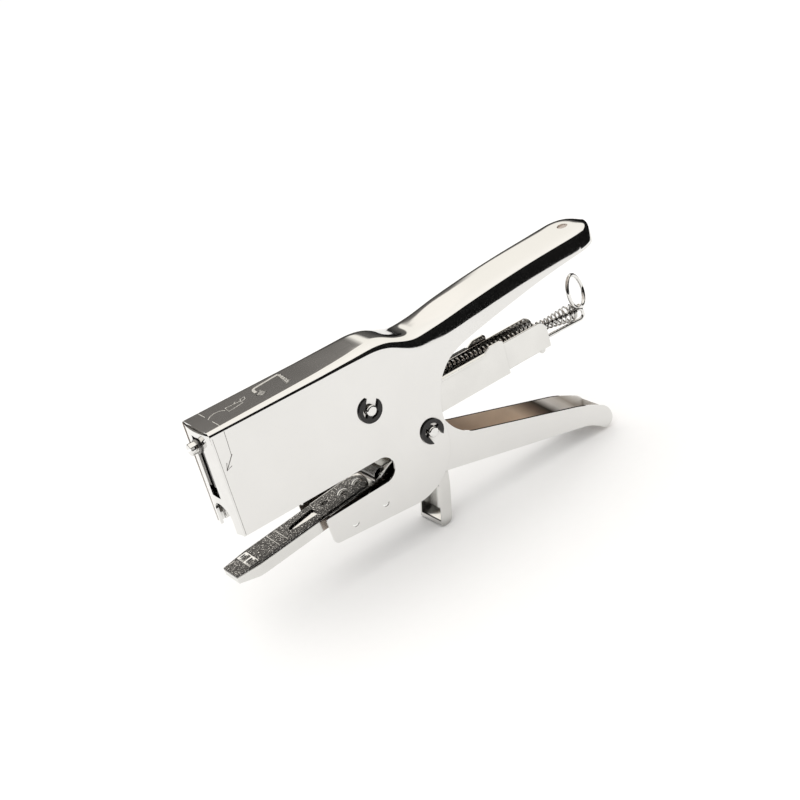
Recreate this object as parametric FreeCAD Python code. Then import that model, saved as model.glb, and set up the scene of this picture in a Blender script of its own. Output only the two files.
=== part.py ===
import FreeCAD, Part
import math
import os

# Plier stapler, millimetres.
# The head frame used below: X runs from the front of the head to the rear of the handles, Y runs
# across, Z is up and 0 at the top front edge of the head. SHIFT moves the finished pieces so that
# the origin lies at the bottom centre of the whole stapler.

# ---- driving dimensions -------------------------------------------------------------------------
HEAD_HALF = 12.0          # half width over the cheeks
SHEET = 1.2               # body and handle sheet
TOP_Z = 0.5               # flat top of the head
HEAD_DEPTH = 48.0         # top edge to the lower edge of the head
HANDLE_TIP_X = 209.0      # rear tip of the upper handle
JAW_TIP_X = -7.56         # front tip of the anvil jaw
LOWEST_Z = -96.79         # lowest point of the anvil tail

PIN_R = 2.5
PIN_A = (71.0, -25.0)     # pivot of the lower handle and the driver lever
PIN_B = (96.8, -48.9)     # pivot of the anvil lever
FIT = 0.05                # radial clearance of running bores

HANDLE_HALF = 10.4        # lower handle, runs inside the cheeks
BRACKET_HALF = 8.5        # anvil bracket, runs inside the lower handle
MAG_HALF = 7.0            # magazine, runs inside the anvil bracket
HANDLE_SWING = 16.0       # degrees, full squeeze

THROAT_SLOT_R = 6.0       # rounded end of the slot that the anvil arm passes through
THROAT_SLOT_X = 68.8
STAPLE_HALF = 5.9         # half width of a staple crown
LEG_LENGTH = 11.0

SHIFT = FreeCAD.Vector(-(HANDLE_TIP_X + JAW_TIP_X) / 2.0, 0.0, -LOWEST_Z)


# ---- helpers ------------------------------------------------------------------------------------
def vec(x, y, z):
    return FreeCAD.Vector(x, y, z)


def box(x0, x1, y0, y1, z0, z1):
    return Part.makeBox(x1 - x0, y1 - y0, z1 - z0, vec(x0, y0, z0))


def rod_y(at, radius, y0, y1):
    return Part.makeCylinder(radius, y1 - y0, vec(at[0], y0, at[1]), vec(0, 1, 0))


def rod_x(x0, x1, y, z, radius):
    return Part.makeCylinder(radius, x1 - x0, vec(x0, y, z), vec(1, 0, 0))


def rod_z(x, y, z0, z1, radius):
    return Part.makeCylinder(radius, z1 - z0, vec(x, y, z0), vec(0, 0, 1))


def outline(steps, place):
    """Closed wire. A step of one point is a line to it, a step of two points an arc through both."""
    edges = []
    here = place(*steps[0][0])
    first = here
    for step in steps[1:]:
        there = place(*step[-1])
        if len(step) == 1:
            edges.append(Part.makeLine(here, there))
        else:
            edges.append(Part.Arc(here, place(*step[0]), there).toShape())
        here = there
    if here.distanceToPoint(first) > 1e-6:
        edges.append(Part.makeLine(here, first))
    return Part.Wire(edges)


def side_prism(steps, y0, y1):
    wire = outline(steps, lambda x, z: vec(x, y0, z))
    return Part.Face(wire).extrude(vec(0, y1 - y0, 0))


def plan_prism(steps, z0, z1):
    wire = outline(steps, lambda x, y: vec(x, y, z0))
    return Part.Face(wire).extrude(vec(0, 0, z1 - z0))


def front_prism(steps, x0, x1):
    wire = outline(steps, lambda y, z: vec(x0, y, z))
    return Part.Face(wire).extrude(vec(x1 - x0, 0, 0))


def both_sides(shape):
    return [shape, shape.mirror(vec(0, 0, 0), vec(0, 1, 0))]


def fuse(shapes):
    result = shapes[0]
    for shape in shapes[1:]:
        result = result.fuse(shape)
    return result.removeSplitter()


def turned(at, angle, radius):
    """Point at a radius and an angle in degrees (from +X towards +Z) about a side-view point."""
    a = math.radians(angle)
    return (at[0] + radius * math.cos(a), at[1] + radius * math.sin(a))


def curve_value(points, x):
    """Smooth monotone-cubic reading of a short list of (x, value) points."""
    if x <= points[0][0]:
        return points[0][1]
    if x >= points[-1][0]:
        return points[-1][1]
    slopes = []
    for i in range(len(points) - 1):
        slopes.append((points[i + 1][1] - points[i][1]) / (points[i + 1][0] - points[i][0]))
    tangents = [slopes[0]]
    for i in range(1, len(slopes)):
        same_way = slopes[i - 1] * slopes[i] > 0
        mean = 2 * slopes[i - 1] * slopes[i] / (slopes[i - 1] + slopes[i]) if same_way else 0.0
        tangents.append(mean)
    tangents.append(slopes[-1])
    for i in range(len(points) - 1):
        x0, v0 = points[i]
        x1, v1 = points[i + 1]
        if x <= x1:
            h = x1 - x0
            t = (x - x0) / h
            return ((2 * t**3 - 3 * t**2 + 1) * v0 + (t**3 - 2 * t**2 + t) * h * tangents[i]
                    + (3 * t**2 - 2 * t**3) * v1 + (t**3 - t**2) * h * tangents[i + 1])


# ---- head and upper handle ----------------------------------------------------------------------
# Each list gives a value along X: the half width, the height of the top line, the width and the
# height of the shoulder beside the flat top, how far the wall leans in, and how square the corner is.
HALF_WIDTH = [(0, HEAD_HALF), (109, HEAD_HALF), (126, 12.9), (150, 13.2), (212, 13.2)]
CROWN = [(0, 0.5), (50, 0.5), (72, 0.9), (81, 1.2), (88, 0.5), (96, -2.8), (103, -4.9), (112, -4.4),
         (130, -2.1), (150, 0.0), (165, 1.2), (180, 2.0), (192, 2.5), (201, 3.0), (206, 2.6),
         (209, 0.3)]
SHOULDER_WIDE = [(0, 2.2), (60, 4.0), (80, 6.0), (92, 9.0), (104, 10.0), (212, 10.0)]
SHOULDER_HIGH = [(0, 1.8), (60, 2.6), (80, 3.8), (92, 6.0), (104, 8.0), (150, 8.6), (192, 8.2),
                 (204, 7.7), (212, 6.2)]
LEAN = [(0, 0.0), (84, 0.0), (104, 0.7), (130, 1.0), (212, 1.0)]
SQUARE = [(0, 0.55), (60, 0.62), (80, 0.70), (92, 0.80), (104, 0.92), (130, 0.95), (212, 0.95)]
TIP_START = 193.5
TIP_ROUND = 15.6              # length of the rounded handle end
TIP_POWER = 2.0               # 2 is an ellipse, more is blunter
STATIONS_FLAT = [0.0, 25.0, 50.0]
STATIONS_NECK = [50.0, 60.0, 70.0, 80.0, 86.0, 92.0, 98.0, 104.0, 109.0]
STATIONS_HANDLE = [109.0, 115.0, 122.0, 130.0, 150.0, 170.0, 184.0, 193.5]
STATIONS_TIP = [193.5, 196.5, 199.5, 202.0, 204.0, 205.7, 207.0, 208.0, 208.7, HANDLE_TIP_X]


def half_width(x):
    side = curve_value(HALF_WIDTH, x)
    if x <= TIP_START:
        return side
    return side * (1.0 - ((x - TIP_START) / TIP_ROUND) ** TIP_POWER) ** (1.0 / TIP_POWER)


def head_section(x, inset):
    """Closed section across the head or handle: flat top, rounded shoulders, straight sides."""
    half = half_width(x) - inset
    top = curve_value(CROWN, x) - inset
    low = -90.0
    near = shoulder(x, half, top, inset, -1)
    far = shoulder(x, half, top, inset, 1)
    ring = [Part.makeLine(vec(x, -half, low), near[0]), bezier(near), Part.makeLine(near[3], far[3]),
            bezier(far[::-1]), Part.makeLine(far[0], vec(x, half, low)),
            Part.makeLine(vec(x, half, low), vec(x, -half, low))]
    return Part.Wire(ring)


def shoulder(x, half, top, inset, side):
    """Poles of the rounded corner, from the straight side up to the flat top."""
    high = curve_value(SHOULDER_HIGH, x) - inset * 0.6
    wide = min(curve_value(SHOULDER_WIDE, x) - inset * 0.6, half - 0.4)
    lean = curve_value(LEAN, x) * half / HEAD_HALF
    square = curve_value(SQUARE, x)
    return [vec(x, side * half, top - high),
            vec(x, side * (half - lean), top - high * (1.0 - square)),
            vec(x, side * (half - wide * (1.0 - square) - 0.4 * lean), top),
            vec(x, side * (half - wide), top)]


def bezier(poles):
    curve = Part.BezierCurve()
    curve.setPoles(poles)
    return curve.toShape()


def head_volume(inset, front):
    flat = [front] + STATIONS_FLAT[1:]
    spans = []
    for stations, ruled in ((flat, True), (STATIONS_NECK, False), (STATIONS_HANDLE, False),
                            (STATIONS_TIP, True)):
        stops = stations
        if inset and stations is STATIONS_TIP:
            stops = [x for x in stations if x < HANDLE_TIP_X - inset]
        spans.append(Part.makeLoft([head_section(x, inset) for x in stops], True, ruled))
    return fuse(spans)


CHEEK_OUTLINE = [
    ((-0.4, 6.0),), ((-0.4, -HEAD_DEPTH),), ((27.6, -HEAD_DEPTH),),
    ((28.2, -HEAD_DEPTH - 0.7), (28.8, -HEAD_DEPTH),),
    ((THROAT_SLOT_X, -HEAD_DEPTH),),
    ((THROAT_SLOT_X + THROAT_SLOT_R, -HEAD_DEPTH - THROAT_SLOT_R),
     (THROAT_SLOT_X, -HEAD_DEPTH - 2 * THROAT_SLOT_R)),
    ((36.4, -62.0),), ((37.2, -71.8),), ((37.9, -73.2), (39.4, -73.8)),
    ((78.0, -76.9),), ((90.3, -75.2), (98.6, -69.0)),
    ((102.6, -62.5), (104.0, -55.0)), ((104.3, -46.0),),
    ((105.6, -36.0), (109.5, -27.0)), ((115.6, -21.4), (125.0, -17.6)),
    ((160.0, -10.9),), ((180.0, -8.2), (200.0, -6.5)), ((214.0, -6.4),), ((214.0, 6.0),)]
HANG_HOLE = (197.0, 2.5)      # place along the handle and radius of the hanging hole
LUGS = [(49.0, -69.2), (65.4, -68.2)]
LUG_R = 2.0
BOW = 1.6                     # how far the front plate bows out ahead of the cheeks
SLOT_HALF = 3.5
SLOT_TOP = -3.6
SLOT_LOW = -32.0
ARCH_HALF = 6.8
ARCH_TOP = -35.4


def make_body_shell():
    shell = head_volume(0.0, -0.4).cut(head_volume(SHEET, -1.0))
    shell = shell.common(side_prism(CHEEK_OUTLINE, -15, 15))
    shell = shell.cut(box(-1.0, 0.0, -13, 13, -90, TOP_Z - SHEET - 0.02))
    for pin in (PIN_A, PIN_B):
        shell = shell.cut(rod_y(pin, PIN_R, -13, 13))
    shell = shell.cut(rod_z(HANG_HOLE[0], 0, -10, 10, HANG_HOLE[1]))
    for at in LUGS:
        lug = rod_y(at, LUG_R, BRACKET_HALF - 0.3, HEAD_HALF - SHEET / 2)
        lug = lug.common(box(at[0] - 3, at[0] + 3, 0, 13, at[1] - 3, at[1]))
        dent = rod_y(at, LUG_R, HEAD_HALF - 0.7, HEAD_HALF + 1)
        dent = dent.common(box(at[0] - 3, at[0] + 3, 0, 14, at[1] - 3, at[1]))
        for piece, hollow in zip(both_sides(lug), both_sides(dent)):
            shell = shell.fuse(piece).cut(hollow)
    return shell.removeSplitter()


def make_front_plate():
    gauge = 1.0
    inner = HEAD_HALF - SHEET
    plate = plan_prism([((0, -HEAD_HALF),), ((-BOW, 0), (0, HEAD_HALF)), ((0, inner),), ((8, inner),),
                        ((8, inner - gauge),), ((gauge, inner - gauge),),
                        ((gauge - BOW, 0), (gauge, gauge - inner)), ((8, gauge - inner),),
                        ((8, -inner),), ((0, -inner),)], -HEAD_DEPTH, TOP_Z - SHEET - 0.05)
    limit = head_volume(0.0, -3.0).cut(box(-4, 10, -inner - 2, inner + 2, 0, 5))
    plate = plate.common(limit)
    slot = front_prism([((-SLOT_HALF, SLOT_TOP),), ((SLOT_HALF, SLOT_TOP),), ((SLOT_HALF, SLOT_LOW),),
                        ((-SLOT_HALF, SLOT_LOW),)], -4, gauge + 0.4)
    arch = front_prism([((-ARCH_HALF, -HEAD_DEPTH - 1),), ((-ARCH_HALF, ARCH_TOP - ARCH_HALF),),
                        ((0, ARCH_TOP), (ARCH_HALF, ARCH_TOP - ARCH_HALF)),
                        ((ARCH_HALF, -HEAD_DEPTH - 1),)], -4, gauge + 0.4)
    flange_top = box(0, 9, -HEAD_HALF, HEAD_HALF, -2.4, 2)
    return plate.cut(slot).cut(arch).cut(flange_top)


# ---- cross pins and clips -----------------------------------------------------------------------
CLIP_GAUGE = 0.9
CLIP_R = 5.8
CLIP_Y = -HEAD_HALF - 0.05 - CLIP_GAUGE


def make_cross_pin(at):
    tail = 1.1
    head = rod_y(at, 4.4, HEAD_HALF, tail - CLIP_Y)
    shank = rod_y(at, PIN_R, CLIP_Y - tail, HEAD_HALF)
    groove = rod_y(at, PIN_R + 1, CLIP_Y, CLIP_Y + CLIP_GAUGE).cut(
        rod_y(at, PIN_R - 0.6, CLIP_Y - 1, CLIP_Y + 2))
    pin = shank.cut(groove).fuse(head)
    ends = [e for e in pin.Edges if abs(e.CenterOfMass.y - (CLIP_Y - tail)) < 0.01]
    rim = [e for e in pin.Edges if abs(e.CenterOfMass.y - (tail - CLIP_Y)) < 0.01]
    return pin.makeChamfer(0.5, ends + rim)


def make_clip(at, mouth):
    """E-clip: a ring with a mouth and three inner teeth that seat in the pin groove."""
    y0 = CLIP_Y
    y1 = CLIP_Y + CLIP_GAUGE
    ring = rod_y(at, CLIP_R, y0, y1).cut(rod_y(at, CLIP_R - 1.9, y0 - 1, y1 + 1))
    seat = PIN_R - 0.6
    for angle in (mouth + 70, mouth + 180, mouth - 70):
        tooth = box(0, CLIP_R - 1.0, y0, y1, -1.2, 1.2)
        tooth.rotate(vec(0, 0, 0), vec(0, -1, 0), angle)
        tooth.translate(vec(at[0], 0, at[1]))
        ring = ring.fuse(tooth)
    ring = ring.cut(rod_y(at, seat, y0 - 1, y1 + 1))
    gap = box(0, CLIP_R + 1, y0 - 1, y1 + 1, -3.0, 3.0)
    gap.rotate(vec(0, 0, 0), vec(0, -1, 0), mouth)
    gap.translate(vec(at[0], 0, at[1]))
    return ring.cut(gap).removeSplitter()


def make_clips():
    return Part.makeCompound([make_clip(PIN_A, 62), make_clip(PIN_B, -68)])


# ---- magazine -----------------------------------------------------------------------------------
MAG_SHEET = 0.9
MAG_FRONT = 1.4
MAG_TOP = -31.4
MAG_FLOOR = -46.2
MAG_REAR = 146.5
EAR_START = 137.0
SLIDE_FRONT = 104.0
SLIDE_REAR = 172.0
SLIDE_FLOOR = -44.9
SLIDE_TOP = -31.7
CORE_REAR = 100.0
CROWN_TOP = -34.2
WIRE = 0.6
STRIP_REAR = 37.0


MAG_RIVETS_X = (48.0, 90.0)
MAG_RIVET_R = 1.3


def rivet_holes():
    near, rear = [rod_z(x, 0, MAG_FLOOR - 1, MAG_FLOOR + 5, MAG_RIVET_R) for x in MAG_RIVETS_X]
    return near.fuse(rear)


def make_magazine_channel():
    walls = side_prism([((MAG_FRONT, MAG_FLOOR),), ((MAG_REAR, MAG_FLOOR),),
                        ((MAG_REAR, MAG_TOP + 0.6),), ((MAG_REAR - 0.5, MAG_TOP + 1.6),
                                                      (MAG_REAR - 2, MAG_TOP + 2.0)),
                        ((EAR_START + 2.5, MAG_TOP + 2.0),), ((EAR_START + 0.8, MAG_TOP + 1.2),
                                                              (EAR_START - 1.0, MAG_TOP)),
                        ((MAG_FRONT, MAG_TOP),)], -MAG_HALF, MAG_HALF)
    channel = walls.cut(box(-5, 160, -MAG_HALF + MAG_SHEET, MAG_HALF - MAG_SHEET,
                            MAG_FLOOR + MAG_SHEET, 0))
    mouth = box(0, 6.0, -MAG_HALF + MAG_SHEET, MAG_HALF - MAG_SHEET, MAG_FLOOR - 1, MAG_FLOOR + 2)
    channel = channel.cut(mouth)
    lip = box(105.0, EAR_START - 1.5, MAG_HALF - 0.1, MAG_HALF + 0.9, MAG_TOP - 0.9, MAG_TOP)
    return fuse([channel] + both_sides(lip)).cut(rivet_holes())


def make_magazine_core():
    half = STAPLE_HALF - WIRE - 0.1
    core = box(MAG_FRONT, CORE_REAR, -half, half, MAG_FLOOR + MAG_SHEET, CROWN_TOP - WIRE - 0.05)
    hollow = box(MAG_FRONT - 1, CORE_REAR + 1, -half + 1, half - 1, MAG_FLOOR, CROWN_TOP - WIRE - 1.1)
    foot = box(40.0, 96.0, -half + 0.9, half - 0.9, MAG_FLOOR + MAG_SHEET, MAG_FLOOR + MAG_SHEET + 1.0)
    core = core.cut(hollow).fuse(foot)
    mouth = side_prism([((MAG_FRONT - 1, MAG_FLOOR),), ((MAG_FRONT + 3.0, MAG_FLOOR),),
                        ((MAG_FRONT + 3.0, MAG_FLOOR + 4.0),), ((MAG_FRONT - 1, MAG_FLOOR + 4.0),)],
                       -9, 9)
    return core.cut(mouth).cut(rivet_holes()).removeSplitter()


def make_staple_strip():
    outer = box(MAG_FRONT + 0.3, STRIP_REAR, -STAPLE_HALF, STAPLE_HALF, CROWN_TOP - LEG_LENGTH, CROWN_TOP)
    inner = box(0, STRIP_REAR + 1, -STAPLE_HALF + WIRE, STAPLE_HALF - WIRE,
                CROWN_TOP - LEG_LENGTH - 1, CROWN_TOP - WIRE)
    return outer.cut(inner)


def make_magazine_rivets():
    rivets = []
    for x in MAG_RIVETS_X:
        head = rod_z(x, 0, MAG_FLOOR - 0.5, MAG_FLOOR, 2.2)
        rivets.append(head.fuse(rod_z(x, 0, MAG_FLOOR, MAG_FLOOR + MAG_SHEET + 1.4, MAG_RIVET_R)))
    return Part.makeCompound(rivets)


# ---- feeder: inner slide, rod with pull ring, pusher, spring ------------------------------------
ROD_R = 0.9
ROD_Z = -31.2
ROD_BEND_X = 108.0
ROD_END = (197.3, -38.8)
STOP_BACK = 6.2               # spring stop ahead of the rear bend of the guide wire
RING_R = 6.6
RING_TURN = 17.0              # degrees that the ring plane is turned about Z
HOOK_DROP = 5.0
SPRING_R = 2.5
PUSHER_LEN = 11.0


def make_feeder_slide():
    half = STAPLE_HALF
    sheet = 0.8
    corner = 5.0
    body = side_prism([((SLIDE_FRONT, SLIDE_FLOOR),), ((SLIDE_REAR, SLIDE_FLOOR),),
                       ((SLIDE_REAR, SLIDE_TOP - corner),),
                       ((SLIDE_REAR - 0.29 * corner, SLIDE_TOP - 0.29 * corner),
                        (SLIDE_REAR - corner, SLIDE_TOP)),
                       ((SLIDE_FRONT, SLIDE_TOP),)], -half, half)
    body = body.cut(box(SLIDE_FRONT - 1, SLIDE_REAR + 1, -half + sheet, half - sheet,
                        SLIDE_FLOOR + sheet, 0))
    tab = side_prism([((167.2, SLIDE_FLOOR + 0.3),), ((168.4, SLIDE_FLOOR - 3.2),),
                      ((169.8, SLIDE_FLOOR - 3.6), (171.0, SLIDE_FLOOR - 3.0)),
                      ((171.4, SLIDE_FLOOR + 0.3),)], -2.0, 2.0)
    rail = box(SLIDE_FRONT, 140.0, -half + 1.2, half - 1.2, MAG_FLOOR + MAG_SHEET + 0.05, SLIDE_FLOOR)
    return fuse([body, tab, rail])


def wire_sweep(points, radius):
    """Round wire along straight runs with rounded corners: (x, y, z, bend radius) each."""
    edges = []
    here = vec(*points[0][:3])
    for i in range(1, len(points) - 1):
        corner = vec(*points[i][:3])
        after = vec(*points[i + 1][:3])
        into = (vec(*points[i - 1][:3]) - corner).normalize()
        away = (after - corner).normalize()
        half_turn = into.getAngle(away) / 2.0
        back = points[i][3] / math.tan(half_turn)
        start = corner + into * back
        end = corner + away * back
        toward = (into + away).normalize()
        centre = corner + toward * (points[i][3] / math.sin(half_turn))
        middle = centre - toward * points[i][3]
        if here.distanceToPoint(start) > 1e-6:
            edges.append(Part.makeLine(here, start))
        edges.append(Part.Arc(start, middle, end).toShape())
        here = end
    edges.append(Part.makeLine(here, vec(*points[-1][:3])))
    path = Part.Wire(edges)
    heading = edges[0].tangentAt(edges[0].FirstParameter)
    profile = Part.Wire(Part.makeCircle(radius, vec(*points[0][:3]), heading))
    return path.makePipeShell([profile], True, True)


def make_feeder_rod():
    """Guide wire: bent slightly down behind the head, folded back below as the latch hook."""
    low = ROD_END[1] - HOOK_DROP
    stem = wire_sweep([(STRIP_REAR + 3.0, 0, ROD_Z, 0), (ROD_BEND_X, 0, ROD_Z, 60.0),
                       (ROD_END[0], 0, ROD_END[1], 2.0), (ROD_END[0], 0, low, 2.2),
                       (163.0, 0, low + 1.2, 0)], ROD_R)
    centre = vec(ROD_END[0], 0, ROD_END[1] + RING_R + 2.6)
    neck = rod_z(centre.x, 0, ROD_END[1], centre.z - RING_R, ROD_R)
    ring = Part.makeTorus(RING_R, ROD_R, centre, vec(-math.sin(math.radians(RING_TURN)),
                                                   math.cos(math.radians(RING_TURN)), 0))
    return fuse([stem, neck, ring])


def make_spring_stop():
    slope = vec(ROD_END[0] - ROD_BEND_X, 0, ROD_END[1] - ROD_Z).normalize()
    start = vec(ROD_END[0], 0, ROD_END[1]) - slope * STOP_BACK
    disc = Part.makeCylinder(3.6, 1.0, start, slope)
    return disc.cut(Part.makeCylinder(ROD_R, 4.0, start - slope, slope))


def make_pusher():
    x0 = STRIP_REAR + 0.4
    x1 = x0 + PUSHER_LEN
    saddle = box(x0, x1, -STAPLE_HALF, STAPLE_HALF, CROWN_TOP - LEG_LENGTH + 0.4, CROWN_TOP + 0.4)
    saddle = saddle.cut(box(x0 - 1, x1 + 1, -STAPLE_HALF + WIRE + 0.02, STAPLE_HALF - WIRE - 0.02,
                            CROWN_TOP - LEG_LENGTH - 1, CROWN_TOP - WIRE + 0.1))
    tower = box(x0 + 1.5, x0 + 8.5, -3.2, 3.2, CROWN_TOP + 0.4, ROD_Z + 2.4)
    bore = rod_x(x0 - 1, x1 + 1, 0, ROD_Z, ROD_R + FIT)
    return fuse([saddle, tower]).cut(bore)


def make_feeder_spring():
    """Envelope of the feed spring: a sleeve along the bent guide wire, wider at its rear end."""
    slope = vec(ROD_END[0] - ROD_BEND_X, 0, ROD_END[1] - ROD_Z).normalize()
    end = vec(ROD_END[0], 0, ROD_END[1]) - slope * (STOP_BACK + 0.1)
    flare_start = end - slope * 14.0
    beyond = end + slope * 3.0
    front = STRIP_REAR + 9.4
    bend = (ROD_BEND_X, 0, ROD_Z, 60.0)
    sleeve = wire_sweep([(front, 0, ROD_Z, 0), bend, (*flare_start, 0)], SPRING_R)
    bore = wire_sweep([(front - 3.0, 0, ROD_Z, 0), bend, (*beyond, 0)], ROD_R + 0.5)
    flare = Part.makeCone(SPRING_R, 3.8, 14.0, flare_start, slope)
    return sleeve.fuse(flare).cut(bore)


# ---- lower handle and driver lever --------------------------------------------------------------
STUD = turned(PIN_A, -42.8, 12.9)
STUD_R = 1.8
HANDLE_OUTLINE = [
    ((71.0, -18.0),), ((66.0, -20.1), (64.0, -25.0)), ((64.9, -28.4), (67.0, -31.0)),
    ((86.5, -64.0),), ((89.6, -67.6), (94.0, -69.8)), ((176.4, -88.9),),
    ((182.6, -91.5), (187.2, -94.9)), ((191.6, -94.4), (193.1, -89.6)),
    ((191.6, -86.0), (188.6, -83.7)), ((182.0, -80.4), (174.6, -77.5)), ((118.6, -60.5),),
    ((110.2, -55.2), (105.4, -48.0)), ((94.6, -29.2), (79.0, -19.0))]
WEB_OUTLINE = [
    ((55.0, -5.0),), ((55.0, -99.0),), ((105.0, -99.0),), ((105.0, -71.1),),
    ((176.8, -87.7),), ((182.8, -90.2), (187.4, -93.4)),
    ((190.4, -93.0), (191.7, -89.8),), ((200.0, -60.0),), ((120.0, -5.0),)]


def pin_b_slot(clearance):
    """Arc slot that lets the lower handle swing past pin B."""
    reach = math.hypot(PIN_B[0] - PIN_A[0], PIN_B[1] - PIN_A[1])
    start = math.degrees(math.atan2(PIN_B[1] - PIN_A[1], PIN_B[0] - PIN_A[0]))
    end = start - HANDLE_SWING - 0.6
    inner = reach - PIN_R - clearance
    outer = reach + PIN_R + clearance
    middle = (start + end) / 2.0
    steps = [(turned(PIN_A, start, inner),), (turned(PIN_A, middle, inner), turned(PIN_A, end, inner)),
             (turned(PIN_A, end, outer),),
             (turned(PIN_A, middle, outer), turned(PIN_A, start, outer))]
    slot = side_prism(steps, -13, 13)
    for angle in (start, end):
        slot = slot.fuse(rod_y(turned(PIN_A, angle, reach), PIN_R + clearance, -13, 13))
    return slot


def make_handle_shell():
    inner = HANDLE_HALF - SHEET
    body = side_prism(HANDLE_OUTLINE, -HANDLE_HALF, HANDLE_HALF)
    body = body.cut(side_prism(WEB_OUTLINE, -inner, inner))
    body = body.cut(rod_y(PIN_A, PIN_R + FIT, -13, 13)).cut(pin_b_slot(0.35))
    return body.cut(rod_y(STUD, STUD_R, -13, 13)).cut(lever_rivet_cuts())


RIVETS_AT = [(74.9, -20.9), (66.9, -28.9)]


def lever_rivet_cuts():
    return rod_y(RIVETS_AT[0], 1.4, -13, 13).fuse(rod_y(RIVETS_AT[1], 1.4, -13, 13))


def make_driver_lever():
    outer = HANDLE_HALF - SHEET
    side = side_prism([((71.0, -18.4),), ((78.0, -20.6), (77.6, -27.0)), ((72.6, -31.2), (65.0, -31.0)),
                       ((44.0, -20.0),), ((20.0, -9.0),), ((6.9, -6.3),), ((6.4, -5.0), (6.9, -3.7)),
                       ((22.0, -5.0),)], -outer, outer)
    plan = plan_prism([((0, -3.0),), ((16, -3.0),), ((46, -outer),), ((90, -outer),), ((90, outer),),
                       ((46, outer),), ((16, 3.0),), ((0, 3.0),)], -40, 0)
    core_plan = plan_prism([((21, -2.0),), ((47, -outer + SHEET),), ((90, -outer + SHEET),),
                            ((90, outer - SHEET),), ((47, outer - SHEET),), ((21, 2.0),)], -40, 0)
    core_side = side_prism([((15, -8.0),), ((22.0, -6.2),), ((60.0, -16.7),), ((60.0, -10.0),),
                            ((95, -10.0),), ((95, -45),), ((15, -45),)], -12, 12)
    lever = side.common(plan).cut(core_plan.common(core_side))
    lever = lever.cut(rod_y(PIN_A, PIN_R + FIT, -13, 13))
    return lever.cut(lever_rivet_cuts())


def make_lever_rivets():
    outer = HANDLE_HALF
    inner = HANDLE_HALF - 2 * SHEET
    rivets = []
    for at in RIVETS_AT:
        rivets += both_sides(rod_y(at, 1.4, inner, outer))
    return Part.makeCompound(rivets)


def make_drive_studs():
    return Part.makeCompound(both_sides(rod_y(STUD, STUD_R, MAG_HALF + 0.35, HANDLE_HALF)))


def make_handle_spring():
    """Envelope of the double return spring: two coils on pin A, a bridge between them, two legs."""
    coils = both_sides(rod_y(PIN_A, 4.9, 3.0, 6.6).cut(rod_y(PIN_A, PIN_R + 0.4, 2, 8)))
    bridge = rod_y((PIN_A[0], PIN_A[1] + 3.9), 0.7, -3.2, 3.2)
    upper = Part.makeCylinder(0.7, 24.0, vec(PIN_A[0], 5.4, PIN_A[1] + 3.9), vec(-24.0, 0, 16.0))
    lower = Part.makeCylinder(0.7, 11.5, vec(PIN_A[0] + 3.9, -5.4, PIN_A[1]), vec(2.0, 0, 6.0))
    return fuse(coils + [bridge, upper, lower])


# ---- driver -------------------------------------------------------------------------------------
BLADE_X0 = 0.15
BLADE_X1 = 0.95
SCREW_Z = -7.5


def make_driver_blade():
    blade = box(BLADE_X0, BLADE_X1, -STAPLE_HALF, STAPLE_HALF, -29.2, -2.0)
    return blade.cut(rod_x(-1, 3, 0, SCREW_Z, 1.6))


def make_driver_carriage():
    block = box(BLADE_X1, 9.4, -4.6, 4.6, -11.0, -1.5)
    window = box(2.8, 10, -3.5, 3.5, -8.3, -2.1)
    relief = box(4.0, 10, -5, 5, -12, -9.4)
    open_top = box(6.2, 10, -5, 5, -6.0, 0)
    return block.cut(window).cut(relief).cut(open_top).cut(rod_x(-1, 5, 0, SCREW_Z, 1.6))


def make_driver_bush():
    bush = rod_x(-BOW - 0.9, BLADE_X0, 0, SCREW_Z, SLOT_HALF - 0.25)
    return bush.cut(rod_x(-5, 2, 0, SCREW_Z, 1.6))


def make_driver_screw():
    front = -BOW - 0.9
    tall = 3.4
    head = rod_x(front - tall, front, 0, SCREW_Z, 2.7)
    rim = [e for e in head.Edges if abs(e.CenterOfMass.x - (front - tall)) < 0.01]
    head = head.makeFillet(0.6, rim)
    groove = box(front - tall - 1.0, front - tall + 1.7, -4, 4, SCREW_Z - 0.45, SCREW_Z + 0.45)
    groove.rotate(vec(0, 0, SCREW_Z), vec(1, 0, 0), -24)
    return fuse([head.cut(groove), rod_x(front, 2.7, 0, SCREW_Z, 1.6)])


def make_driver_guide():
    """Rail beside the blade that keeps it against the front plate."""
    outer = HEAD_HALF - SHEET - 1.0
    rail = box(1.0, 12.0, STAPLE_HALF + 0.4, outer, -30.6, -3.0)
    pocket = box(2.6, 13.0, STAPLE_HALF, outer - 1.0, -31, -2)
    step = box(0.9, 1.9, STAPLE_HALF - 1.2, STAPLE_HALF + 1.2, -30.6, -12.0)
    return rail.cut(pocket).fuse(step.translate(vec(0.25, 0, 0))).removeSplitter()


# ---- anvil lever --------------------------------------------------------------------------------
ANVIL_SLOPE = math.degrees(math.atan(0.105))
ANVIL_Z0 = -65.2              # top of the clinch plate below the front edge of the head
PLATE = 0.9
ARM_HALF = 7.5
PLATE_HALF = 6.9
ARM_REAR = 66.0
SPRING_PIN = (70.0, -58.6)


def anvil_top(x):
    return ANVIL_Z0 + 0.105 * x


def tilt(shape):
    shape.rotate(vec(0, 0, ANVIL_Z0), vec(0, -1, 0), ANVIL_SLOPE)
    return shape


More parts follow.
